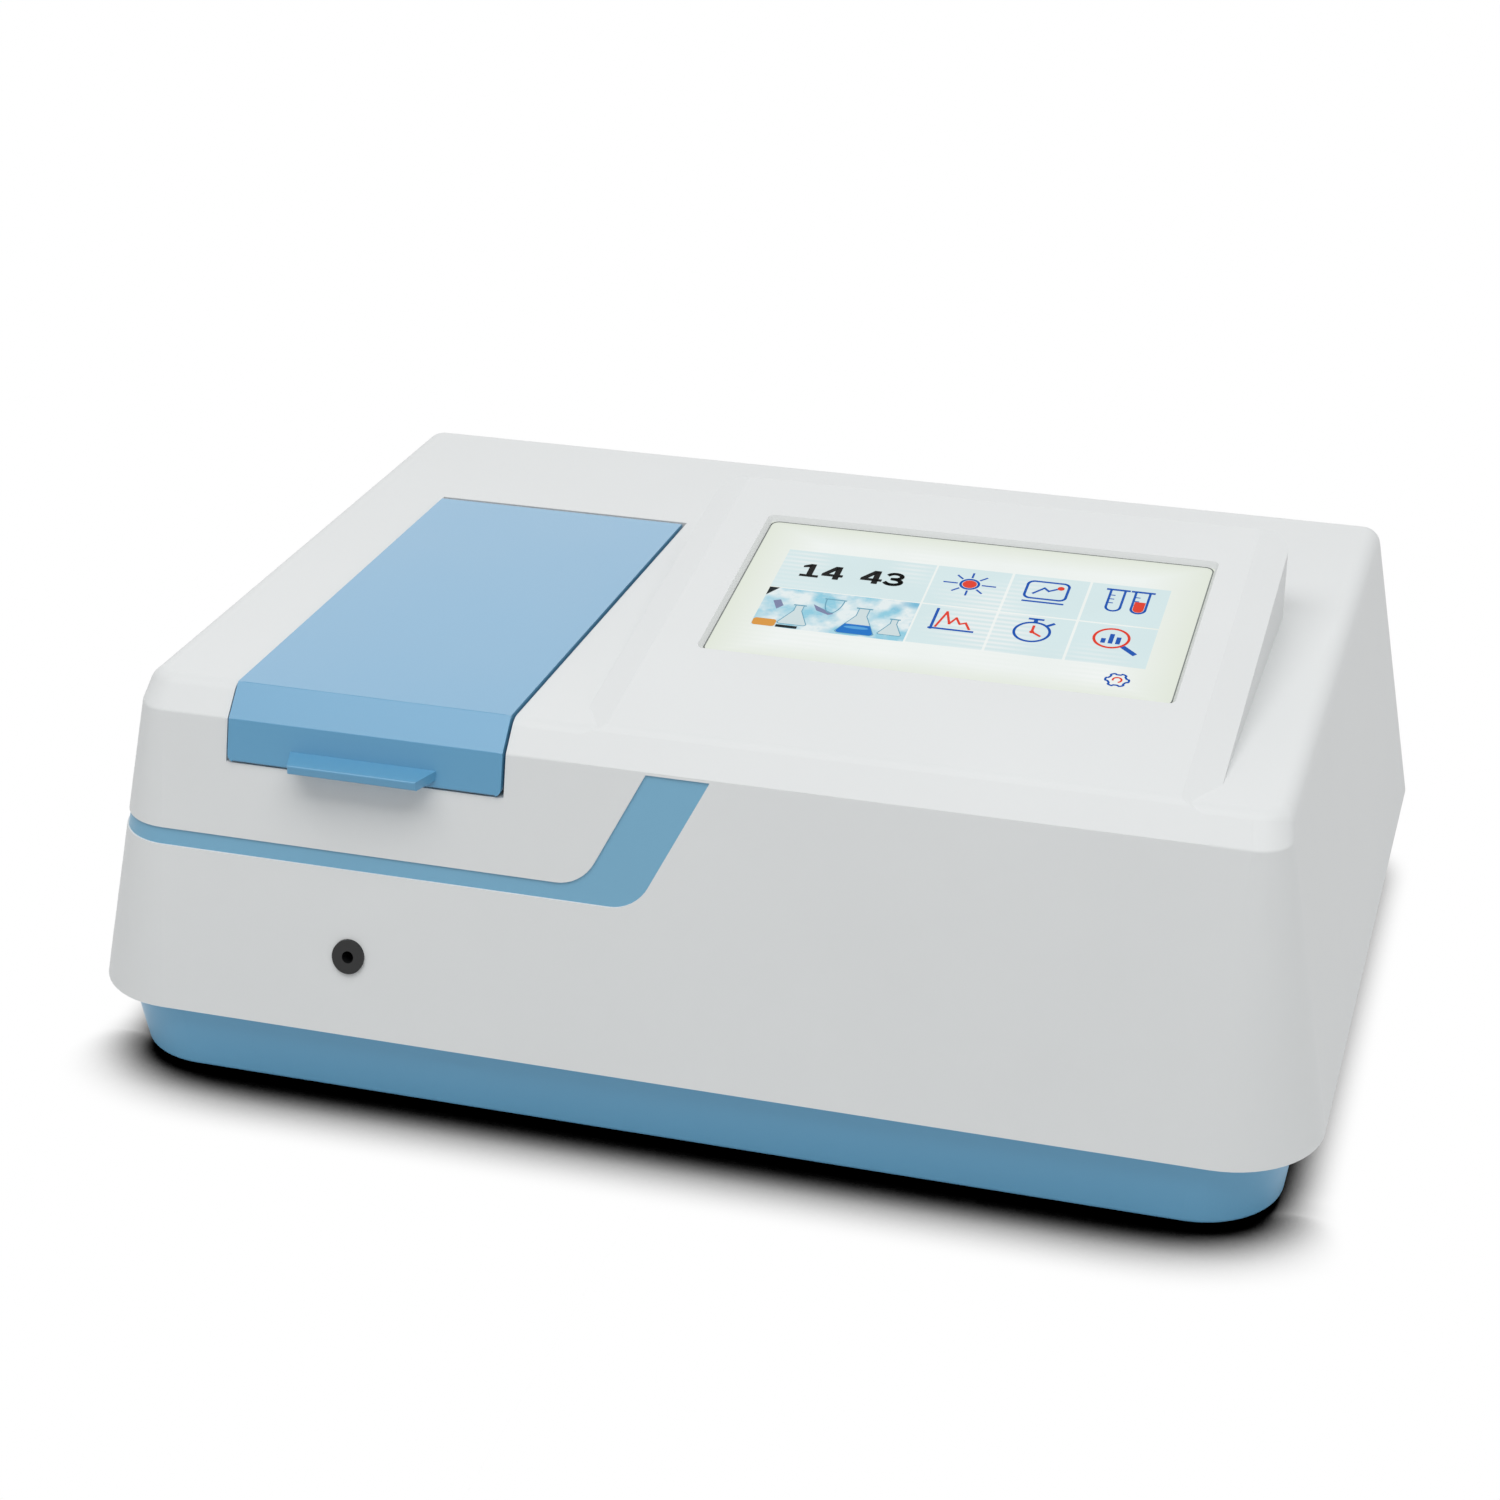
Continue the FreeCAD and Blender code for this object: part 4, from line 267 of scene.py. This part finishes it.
def polished_mirror(name):
    finish = Finish(name)
    haze = finish.noise(0.01, 3.0)
    tint = finish.mix(haze, (0.88, 0.90, 0.92, 1), (0.95, 0.96, 0.97, 1))
    return finish.surface(base_color=tint, metallic=1.0, roughness=haze * 0.03 + 0.02)


def clear_glass(name):
    finish = Finish(name)
    haze = finish.noise(0.01, 3.0)
    tint = finish.mix(haze, (0.90, 0.95, 0.97, 1), (0.97, 0.99, 1.0, 1))
    return finish.surface(base_color=tint, roughness=haze * 0.04 + 0.02, alpha=0.35, coat_weight=0.6,
                          coat_roughness=0.03)


def circuit_board(name):
    """Green solder mask with copper tracks showing through."""
    finish = Finish(name)
    cells = finish.node("ShaderNodeTexBrick", {"offset": 0.0},
                        {"Vector": finish.point(), "Scale": 260.0, "Mortar Size": 0.12,
                         "Mortar Smooth": 0.1}, "Fac")
    tracks = finish.noise(0.004, 1.0).above(0.5) * cells
    tint = finish.mix(tracks, tone("0F3D24"), tone("2E6B3A"))
    return finish.surface(base_color=tint, roughness=tracks * 0.1 + 0.3,
                          normal=finish.bump(tracks, 0.00003, 0.6),
                          coat_weight=0.3, coat_roughness=0.2)


def screen_glow(name, colour, far=None, lines=0.0, strength=0.72):
    """Lit part of the screen behind matt glass: faint interlaced lines, and a far colour towards the edge."""
    finish = Finish(name)
    middle = (screen_front + window_slope * math.cos(screen_tilt)) * MM
    across = (finish.axis("X") - window_x * MM) * (2 / (window_width * MM))
    along = (finish.axis("Y") - middle) * (2 / (window_height * MM))
    cloud = finish.noise(0.03, 2.0)
    tint = finish.mix(cloud, shade(colour, 0.97), shade(colour, 1.03))
    if lines:
        rows = (along * 105.0).maths("SINE") * 0.5 + 0.5
        patch = ((finish.noise(0.05, 1.0) - 0.42) * 5.0).clamped()
        tint = finish.mix(rows * patch * lines, tint, tone("FBFDFC"))
    if far:
        edge = across.maths("ABSOLUTE").maths("MAXIMUM", along.maths("ABSOLUTE"))
        tint = finish.mix(((edge - 0.72) * 3.6).clamped(), tint, far)
    return finish.surface(base_color=shade(colour, 0.05), emission_color=tint, emission_strength=strength,
                          roughness=0.4, specular_ior_level=0.06)


FINISHES = {
    "case_white": moulded_plastic("case_white_shell", CASE_WHITE, 0.52, 0.0),
    # Base blue is painted lighter to offset the shade under the cover's overhang.
    "case_blue": moulded_plastic("base_blue_shade_lifted_shell", BASE_BLUE_SHADE_LIFTED, 0.40, 0.2),
    "lid_blue": moulded_plastic("lid_blue_shell", PLASTIC_BLUE, 0.36, 0.6),
    "band_blue": moulded_plastic("band_blue_strip", BAND_BLUE, 0.46, 0.1),
    "black_plastic": black_coating("black_moulding", tone("0C0D0E"), 0.0, 0.42),
    "black_metal": black_coating("black_powder_coat", tone("202122"), 0.0, 0.55),
    "rubber": soft_rubber("foot_rubber", tone("161616")),
    "foam": soft_rubber("seal_foam", tone("1C1C1C"), 0.0012),
    "steel": brushed_metal("zinc_steel", tone("C3C5C8"), 0.3),
    "aluminium": brushed_metal("folded_aluminium", tone("CFD1D3"), 0.38),
    "black_aluminium": black_coating("black_anodising", tone("161618"), 0.6, 0.42),
    "cast_aluminium": cast_metal("cast_bench", tone("9FA1A3")),
    "brass": brushed_metal("turned_brass", tone("D6B46A"), 0.26),
    "clear_glass": clear_glass("optical_glass"),
    "mirror": polished_mirror("front_silvered_mirror"),
    "board": circuit_board("circuit_board"),
    "screen": screen_glow("lit_screen", tone("F4F9F6"), tone("E7EDE0"), 0.6, 0.87),
    "lcd": moulded_plastic("screen_module_shell", tone("BFC4C6"), 0.4, 0.1),
}

SLOT_OF = {part["node"]: part["material_slot"] for part in frame["record"]["subparts"]}


def dress_nodes():
    """Gives every CAD node the finish of its record slot."""
    for name, node in nodes.items():
        node.data.materials.clear()
        node.data.materials.append(FINISHES[SLOT_OF[name]])


# Placing on the screen panel


def on_panel(u, v, lift=0.0):
    """Point u across and v up the slope from the window's centre, lift above the glass, in millimetres."""
    along = window_slope + v
    out = glass_drop + lift
    y = screen_front + along * math.cos(screen_tilt) - out * math.sin(screen_tilt)
    z = screen_level + along * math.sin(screen_tilt) + out * math.cos(screen_tilt)
    return Vector((window_x + u, y, z)) * MM


def add_piece(name, mesh, material, body="case"):
    piece = bpy.data.objects.new(name, mesh)
    bpy.context.scene.collection.objects.link(piece)
    mesh.materials.clear()
    mesh.materials.append(material)
    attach(piece, body)
    return piece


def flat_piece(name, outlines, material, lift):
    """Thin sheets on the screen: each outline is a list of (u, v) points."""
    mesh = bpy.data.meshes.new(name)
    build = bmesh.new()
    for outline in outlines:
        low = [build.verts.new(on_panel(u, v, lift)) for u, v in outline]
        high = [build.verts.new(on_panel(u, v, lift + sheet_thickness)) for u, v in outline]
        build.faces.new(high)
        build.faces.new(list(reversed(low)))
        for i in range(len(outline)):
            j = (i + 1) % len(outline)
            build.faces.new((low[i], low[j], high[j], high[i]))
    bmesh.ops.recalc_face_normals(build, faces=build.faces)
    build.to_mesh(mesh)
    build.free()
    return add_piece(name, mesh, material)


def disc(u, v, radius, count=28):
    angles = [2 * math.pi * i / count for i in range(count)]
    return [(u + radius * math.cos(a), v + radius * math.sin(a)) for a in angles]


def stroke(points, width, closed=False):
    """Line of a given width through points, as one quad for each stretch."""
    quads = []
    stretches = list(zip(points, points[1:])) + ([(points[-1], points[0])] if closed else [])
    for (ax, ay), (bx, by) in stretches:
        length = math.hypot(bx - ax, by - ay)
        ex, ey = (bx - ax) / length * width / 2, (by - ay) / length * width / 2
        quads.append([(ax - ex - ey, ay - ey + ex), (ax - ex + ey, ay - ey - ex),
                      (bx + ex + ey, by + ey - ex), (bx + ex - ey, by + ey + ex)])
    return quads


def loop(u, v, radius_u, radius_v, width, turn=0.0, count=36, start=0.0, sweep=360.0):
    """Stroke along an ellipse or part of one."""
    points = []
    for i in range(count + 1):
        a = math.radians(start + sweep * i / count)
        x, y = radius_u * math.cos(a), radius_v * math.sin(a)
        t = math.radians(turn)
        points.append((u + x * math.cos(t) - y * math.sin(t), v + x * math.sin(t) + y * math.cos(t)))
    return stroke(points, width)


def block(u0, v0, u1, v1):
    return [(u0, v0), (u1, v0), (u1, v1), (u0, v1)]


def rounded_block(u0, v0, u1, v1, radius, count=6):
    points = []
    for cu, cv, start in ((u1 - radius, v1 - radius, 0), (u0 + radius, v1 - radius, 90),
                          (u0 + radius, v0 + radius, 180), (u1 - radius, v0 + radius, 270)):
        for i in range(count + 1):
            a = math.radians(start + 90 * i / count)
            points.append((cu + radius * math.cos(a), cv + radius * math.sin(a)))
    return points


# Picture on the screen


def screen_picture():
    ink_blue = screen_glow("ink_blue", tone("1259BC"), strength=0.8)
    ink_red = screen_glow("ink_red", tone("E8402B"), strength=0.85)
    ink_black = screen_glow("ink_black", tone("0F0D0B"), strength=0.3)
    tiles = [block(*clock_tile)]
    for left, right in symbol_columns:
        for low, high in symbol_rows:
            tiles.append(block(left, low, right, high))
    tile_glow = screen_glow("tile_pale_blue", tone("DFF2F4"), None, 0.8, 0.83)
    flat_piece("screen_tiles", tiles, tile_glow, tile_lift)
    flat_piece("clock_digits", clock_digits(), ink_black, ink_lift)
    glassware_picture()
    pictograms(ink_blue, ink_red)
    # Painted gap shade: a dark strip along the window's edge.
    window_gap_shade()


def window_gap_shade():
    """Dark grey strip along the window's edge: painted shade standing in for the gap between the glass and
    its window.
    """
    half_u, half_v = window_width / 2 - 0.4, window_height / 2 - 0.4
    line = rounded_block(-half_u, -half_v, half_u, half_v, 4.0, 8)
    # Grey strip colour is painted shade of the gap between glass and window.
    rubber = black_coating("painted_gap_shade", tone("6F7372"), 0.0, 0.6)
    flat_piece("window_gap_shade", stroke(line, 0.65, True), rubber, 0.35)


def digit_one(u, v):
    """A one with a flag and a foot, 12 high."""
    return [block(u + 3.6, v, u + 6.6, v + 12.0), block(u + 0.4, v, u + 9.8, v + 2.1),
            [(u + 0.6, v + 8.3), (u + 4.2, v + 9.0), (u + 5.4, v + 12.0), (u + 4.0, v + 12.0),
             (u + 0.6, v + 10.1)]]


def digit_four(u, v):
    slope = [(u + 5.4, v + 12.0), (u + 8.9, v + 12.0), (u + 3.4, v + 4.6), (u, v + 4.6)]
    return [slope, block(u, v + 2.5, u + 10.6, v + 4.7), block(u + 5.9, v, u + 8.9, v + 12.0)]


def digit_three(u, v):
    top = loop(u + 4.6, v + 8.6, 3.3, 2.35, 2.2, 0.0, 22, 150.0, -240.0)
    low = loop(u + 4.5, v + 3.5, 3.8, 2.45, 2.3, 0.0, 22, 90.0, -240.0)
    return top + low + [block(u + 2.8, v + 5.2, u + 5.2, v + 7.2)]


def clock_digits():
    """Plain clock figures, 14 43."""
    return (digit_one(-84.6, 13.6) + digit_four(-73.6, 13.6)
            + digit_four(-54.2, 13.8) + digit_three(-42.6, 13.8))


def arc_points(u, v, radius_u, radius_v, start, sweep, count=16):
    points = []
    for i in range(count + 1):
        a = math.radians(start + sweep * i / count)
        points.append((u + radius_u * math.cos(a), v + radius_v * math.sin(a)))
    return points


def cog_outline(u, v, radius, count=60):
    """Cog with six soft teeth."""
    points = []
    for i in range(count):
        a = 2 * math.pi * i / count
        reach = radius * (1 + 0.11 * math.tanh(2.5 * math.cos(6 * a)))
        points.append((u + reach * math.cos(a), v + reach * math.sin(a)))
    return points


def ray_ends(u, v, angle, inner, outer):
    a = math.radians(angle)
    return [(u + reach * math.cos(a), v + reach * math.sin(a)) for reach in (inner, outer)]


def lamp_symbol(u, v):
    """Light source with eight rays, the level ones longer."""
    blue = loop(u, v, 4.4, 4.4, 1.2)
    for step in range(8):
        reach = 12.5 if step % 4 == 0 else 10.0
        blue += stroke(ray_ends(u, v, 45 * step, 6.4, reach), 1.0)
    return blue, [disc(u, v, 3.5)]


def curve_symbol(u, v):
    """Curve on a framed screen with a foot."""
    blue = stroke(rounded_block(u - 10.5, v - 6.0, u + 9.5, v + 9.5, 3.2), 1.3, True)
    blue += stroke([(u - 6.5, v - 1.5), (u - 2.0, v + 4.0), (u + 0.5, v + 1.5), (u + 5.5, v + 5.0)], 1.2)
    blue += stroke([(u - 10.0, v - 9.0), (u + 9.0, v - 9.0)], 1.3)
    return blue, [disc(u + 5.8, v + 5.0, 1.7)]


def tubes_symbol(u, v):
    """Two test tubes with marks, one of them part full."""
    blue = []
    for side in (-6.0, 6.0):
        for edge in (-3.4, 3.4):
            blue += stroke([(u + side + edge, v + 9.0), (u + side + edge, v - 6.0)], 1.2)
        blue += stroke(arc_points(u + side, v - 6.0, 3.4, 3.6, 180.0, 180.0), 1.2)
        blue += stroke([(u + side - 5.0, v + 9.6), (u + side + 5.0, v + 9.6)], 1.5)
        for mark in (-2.5, 1.0, 4.5):
            blue += stroke([(u + side - 3.2, v + mark), (u + side - 1.0, v + mark)], 0.7)
    filling = arc_points(u + 6.0, v - 6.0, 2.6, 2.8, 180.0, 180.0) + [(u + 8.6, v + 0.5), (u + 3.4, v + 0.5)]
    return blue, [filling]


def peaks_symbol(u, v):
    """Axes with a curve of falling peaks."""
    blue = stroke([(u - 9.5, v + 9.5), (u - 9.5, v - 8.0)], 1.4)
    blue += stroke([(u - 10.2, v - 7.6), (u + 10.5, v - 7.6)], 1.4)
    peaks = [(-7.5, -6.0), (-4.6, 7.5), (-1.6, -2.5), (0.8, 3.0), (3.4, -2.0), (6.0, -0.5), (8.6, -5.6)]
    return blue, stroke([(u + x, v + y) for x, y in peaks], 1.2)


def stopwatch_symbol(u, v):
    blue = loop(u, v - 0.5, 8.4, 8.4, 1.3)
    blue += stroke([(u, v + 8.2), (u, v + 10.6)], 2.0)
    blue += stroke([(u - 3.0, v + 10.9), (u + 3.0, v + 10.9)], 1.5)
    blue += stroke([(u + 6.6, v + 6.4), (u + 8.6, v + 8.2)], 1.7)
    hands = stroke([(u, v + 4.6), (u, v - 0.5), (u + 4.2, v - 3.4)], 1.3)
    return blue, hands + [disc(u, v - 0.5, 1.2)]


def magnifier_symbol(u, v):
    """Magnifier over three bars."""
    blue = stroke([(u + 4.8, v - 4.4), (u + 10.8, v - 9.6)], 2.6)
    for shift, height in ((-5.0, 4.0), (-1.5, 8.4), (2.0, 6.0)):
        blue.append(block(u + shift - 1.1, v - 2.8, u + shift + 1.1, v - 2.8 + height))
    return blue, loop(u - 1.5, v + 1.8, 8.2, 8.2, 1.3)


def cog_symbol(u, v):
    blue = stroke(cog_outline(u, v, 4.9), 1.0, True)
    return blue, loop(u, v, 2.0, 2.0, 0.9, 0.0, 20, -60.0, 250.0)


SYMBOLS = (
    (lamp_symbol, -1.3, 23.0),
    (curve_symbol, 36.6, 23.0),
    (tubes_symbol, 75.5, 23.0),
    (peaks_symbol, -1.3, -11.5),
    (stopwatch_symbol, 36.6, -12.5),
    (magnifier_symbol, 75.5, -12.5),
    (cog_symbol, 83.1, -45.4),
)


def pictograms(blue_ink, red_ink):
    """Six plain symbols and a settings cog."""
    blue_parts = []
    red_parts = []
    for symbol, u, v in SYMBOLS:
        blue, red = symbol(u, v)
        blue_parts += blue
        red_parts += red
    flat_piece("pictograms_blue", blue_parts, blue_ink, ink_lift)
    flat_piece("pictograms_red", red_parts, red_ink, ink_lift + 0.02)


def flask_outline(u, v, size, fill=1.0):
    """Conical flask with a rounded base, or its lower part up to a share of its body."""
    low = arc_points(u + 6.2 * size, v + 1.8 * size, 1.8 * size, 1.8 * size, -90.0, 70.0, 5)
    low = [(2 * u - x, y) for x, y in reversed(low)] + low
    top = v + (2.4 + 11.6 * fill) * size
    half = (7.8 - 5.6 * fill) * size
    if fill < 1.0:
        return low + [(u + half, top), (u - half, top)]
    neck = v + 19.5 * size
    return low + [(u + half, top), (u + half, neck), (u - half, neck), (u - half, top)]


def glassware_picture():
    """Small plain scene of laboratory glass under the clock."""
    ground = Finish("glassware_ground")
    cloud = ground.noise(0.014, 3.0)
    streak = ground.noise(0.005, 4.0, 0.7)
    deep = ground.noise(0.02, 2.0, 0.5)
    pale = ground.mix(((cloud - 0.40) * 5.0).clamped(), tone("8FD3EA"), tone("F2FBFC"))
    tint = ground.mix(((streak - 0.5) * 3.0).clamped(), pale, tone("C6E6F0"))
    tint = ground.mix(((deep - 0.58) * 6.0).clamped(), tint, tone("55B2DB"))
    picture = ground.surface(base_color=(0.05, 0.06, 0.06, 1), emission_color=tint, emission_strength=0.80,
                             roughness=0.4, specular_ior_level=0.06)
    flat_piece("glassware_ground", [block(*glassware_tile)], picture, tile_lift)
    flasks = [(-45.0, -32.6, 1.18), (-76.0, -30.5, 0.9), (-28.5, -30.0, 0.72)]
    pale_glass = screen_glow("glassware_pale", tone("E4F5F8"))
    flat_piece("glassware_bodies", [flask_outline(*flask) for flask in flasks], pale_glass, 0.05)
    rims = []
    for u, v, size in flasks:
        rims += stroke(flask_outline(u, v, size), 0.45, True)
        rims += stroke([(u - 3.0 * size, v + 19.6 * size), (u + 3.0 * size, v + 19.6 * size)], 0.9)
    rims += stroke(arc_points(-60.5, -4.5, 4.4, 12.0, 180.0, 180.0, 20), 0.6)
    rims += stroke([(-65.5, -4.4), (-55.5, -4.4)], 0.8)
    flat_piece("glassware_rims", rims, screen_glow("glassware_line", tone("78B4CC")), 0.09)
    flat_piece("glassware_liquid", [flask_outline(-45.0, -32.4, 1.14, 0.42)],
               screen_glow("glassware_blue", tone("1C7FDB")), 0.11)
    flat_piece("glassware_shine", [arc_points(-45.0, -26.9, 6.0, 1.2, 0.0, 360.0, 20)],
               screen_glow("glassware_bright", tone("5FB4F2")), 0.13)
    flat_piece("glassware_vials", [rounded_block(-94.8, -33.8, -83.5, -27.6, 1.6)],
               screen_glow("glassware_amber", tone("F0A84A")), 0.07)
    shadows = [[(-95, 1.0), (-95, -6.5), (-90, 1.0)], block(-83.0, -33.8, -72.5, -31.6)]
    flat_piece("glassware_shadows", shadows,
               screen_glow("glassware_dark", tone("12262C"), strength=0.4), 0.07)
    stems = [[(-90.0, -11.0), (-86.6, -9.4), (-84.0, -14.4), (-86.6, -18.0)],
             [(-70.0, -10.5), (-64.0, -14.0), (-58.5, -17.0), (-61.0, -18.4), (-67.5, -15.6)]]
    flat_piece("glassware_stoppers", stems, screen_glow("glassware_violet", tone("8B93B8")), 0.06)


# Setting


def make_floor():
    mesh = bpy.data.meshes.new("studio_floor")
    build = bmesh.new()
    bmesh.ops.create_grid(build, x_segments=2, y_segments=2, size=12.0)
    build.to_mesh(mesh)
    build.free()
    floor = bpy.data.objects.new("studio_floor", mesh)
    bpy.context.scene.collection.objects.link(floor)
    finish = Finish("studio_floor")
    # Painted shadow: for camera, mirror and glass rays the floor glows white, darkened to black by ambient
    # occlusion near the object's base; the occlusion reaches further in front of the object.
    forward = finish.axis("Y") * -1.0
    before = ((forward - 0.16) * 18.0).clamped()
    near = finish.node("ShaderNodeAmbientOcclusion", {"samples": 48},
                       {"Distance": before * 0.025 + 0.035}, "AO")
    painted_shadow_fade = finish.node("ShaderNodeMapRange", {"interpolation_type": "SMOOTHSTEP"},
                       {"Value": near, "From Min": 0.43, "From Max": 0.91})
    # Painted shadow: white floor light faded to black near the base.
    white = finish.mix(painted_shadow_fade, (0.0, 0.0, 0.0, 1), (1.0, 1.0, 1.0, 1))
    glow = finish.node("ShaderNodeEmission", {}, {"Color": white, "Strength": 1.0})
    matt = finish.node("ShaderNodeBsdfDiffuse", {}, {"Color": (floor_tone, floor_tone, floor_tone, 1)})
    blend = finish.node("ShaderNodeMixShader", {}, {0: finish.seen_directly(), 1: matt, 2: glow})
    mesh.materials.append(finish.close(blend))


def make_world():
    world = bpy.data.worlds.new("studio")
    bpy.context.scene.world = world
    sky = Finish("studio", world)
    soft = sky.node("ShaderNodeBackground", {}, {"Color": (0.98, 0.99, 1.0, 1), "Strength": sky_strength})
    white = sky.node("ShaderNodeBackground", {}, {"Color": (1, 1, 1, 1), "Strength": 1.0})
    sky.close(sky.node("ShaderNodeMixShader", {}, {0: sky.seen_directly(), 1: soft, 2: white}))


def soft_box(name, place, target, size, power):
    light = bpy.data.lights.new(name, "AREA")
    light.shape = "RECTANGLE"
    light.size, light.size_y = size
    light.energy = power
    lamp = bpy.data.objects.new(name, light)
    lamp.location = place
    lamp.rotation_euler = (Vector(target) - Vector(place)).to_track_quat("-Z", "Y").to_euler()
    bpy.context.scene.collection.objects.link(lamp)


def make_camera():
    camera = bpy.data.cameras.new("photo_camera")
    camera.lens = camera_lens
    camera.sensor_width = 36.0
    camera.clip_start = 0.05
    camera.clip_end = 50.0
    turn = Matrix(camera_axes).transposed().to_4x4()
    holder = bpy.data.objects.new("photo_camera", camera)
    holder.matrix_world = Matrix.Translation(Vector(camera_place) * MM) @ turn
    bpy.context.scene.collection.objects.link(holder)
    bpy.context.scene.camera = holder


bpy.context.scene.view_settings.view_transform = "Standard"
make_camera()
make_world()
make_floor()
for light_name, (place, target, size, power) in SOFT_BOXES.items():
    soft_box(light_name, place, target, size, power)
dress_nodes()
screen_picture()
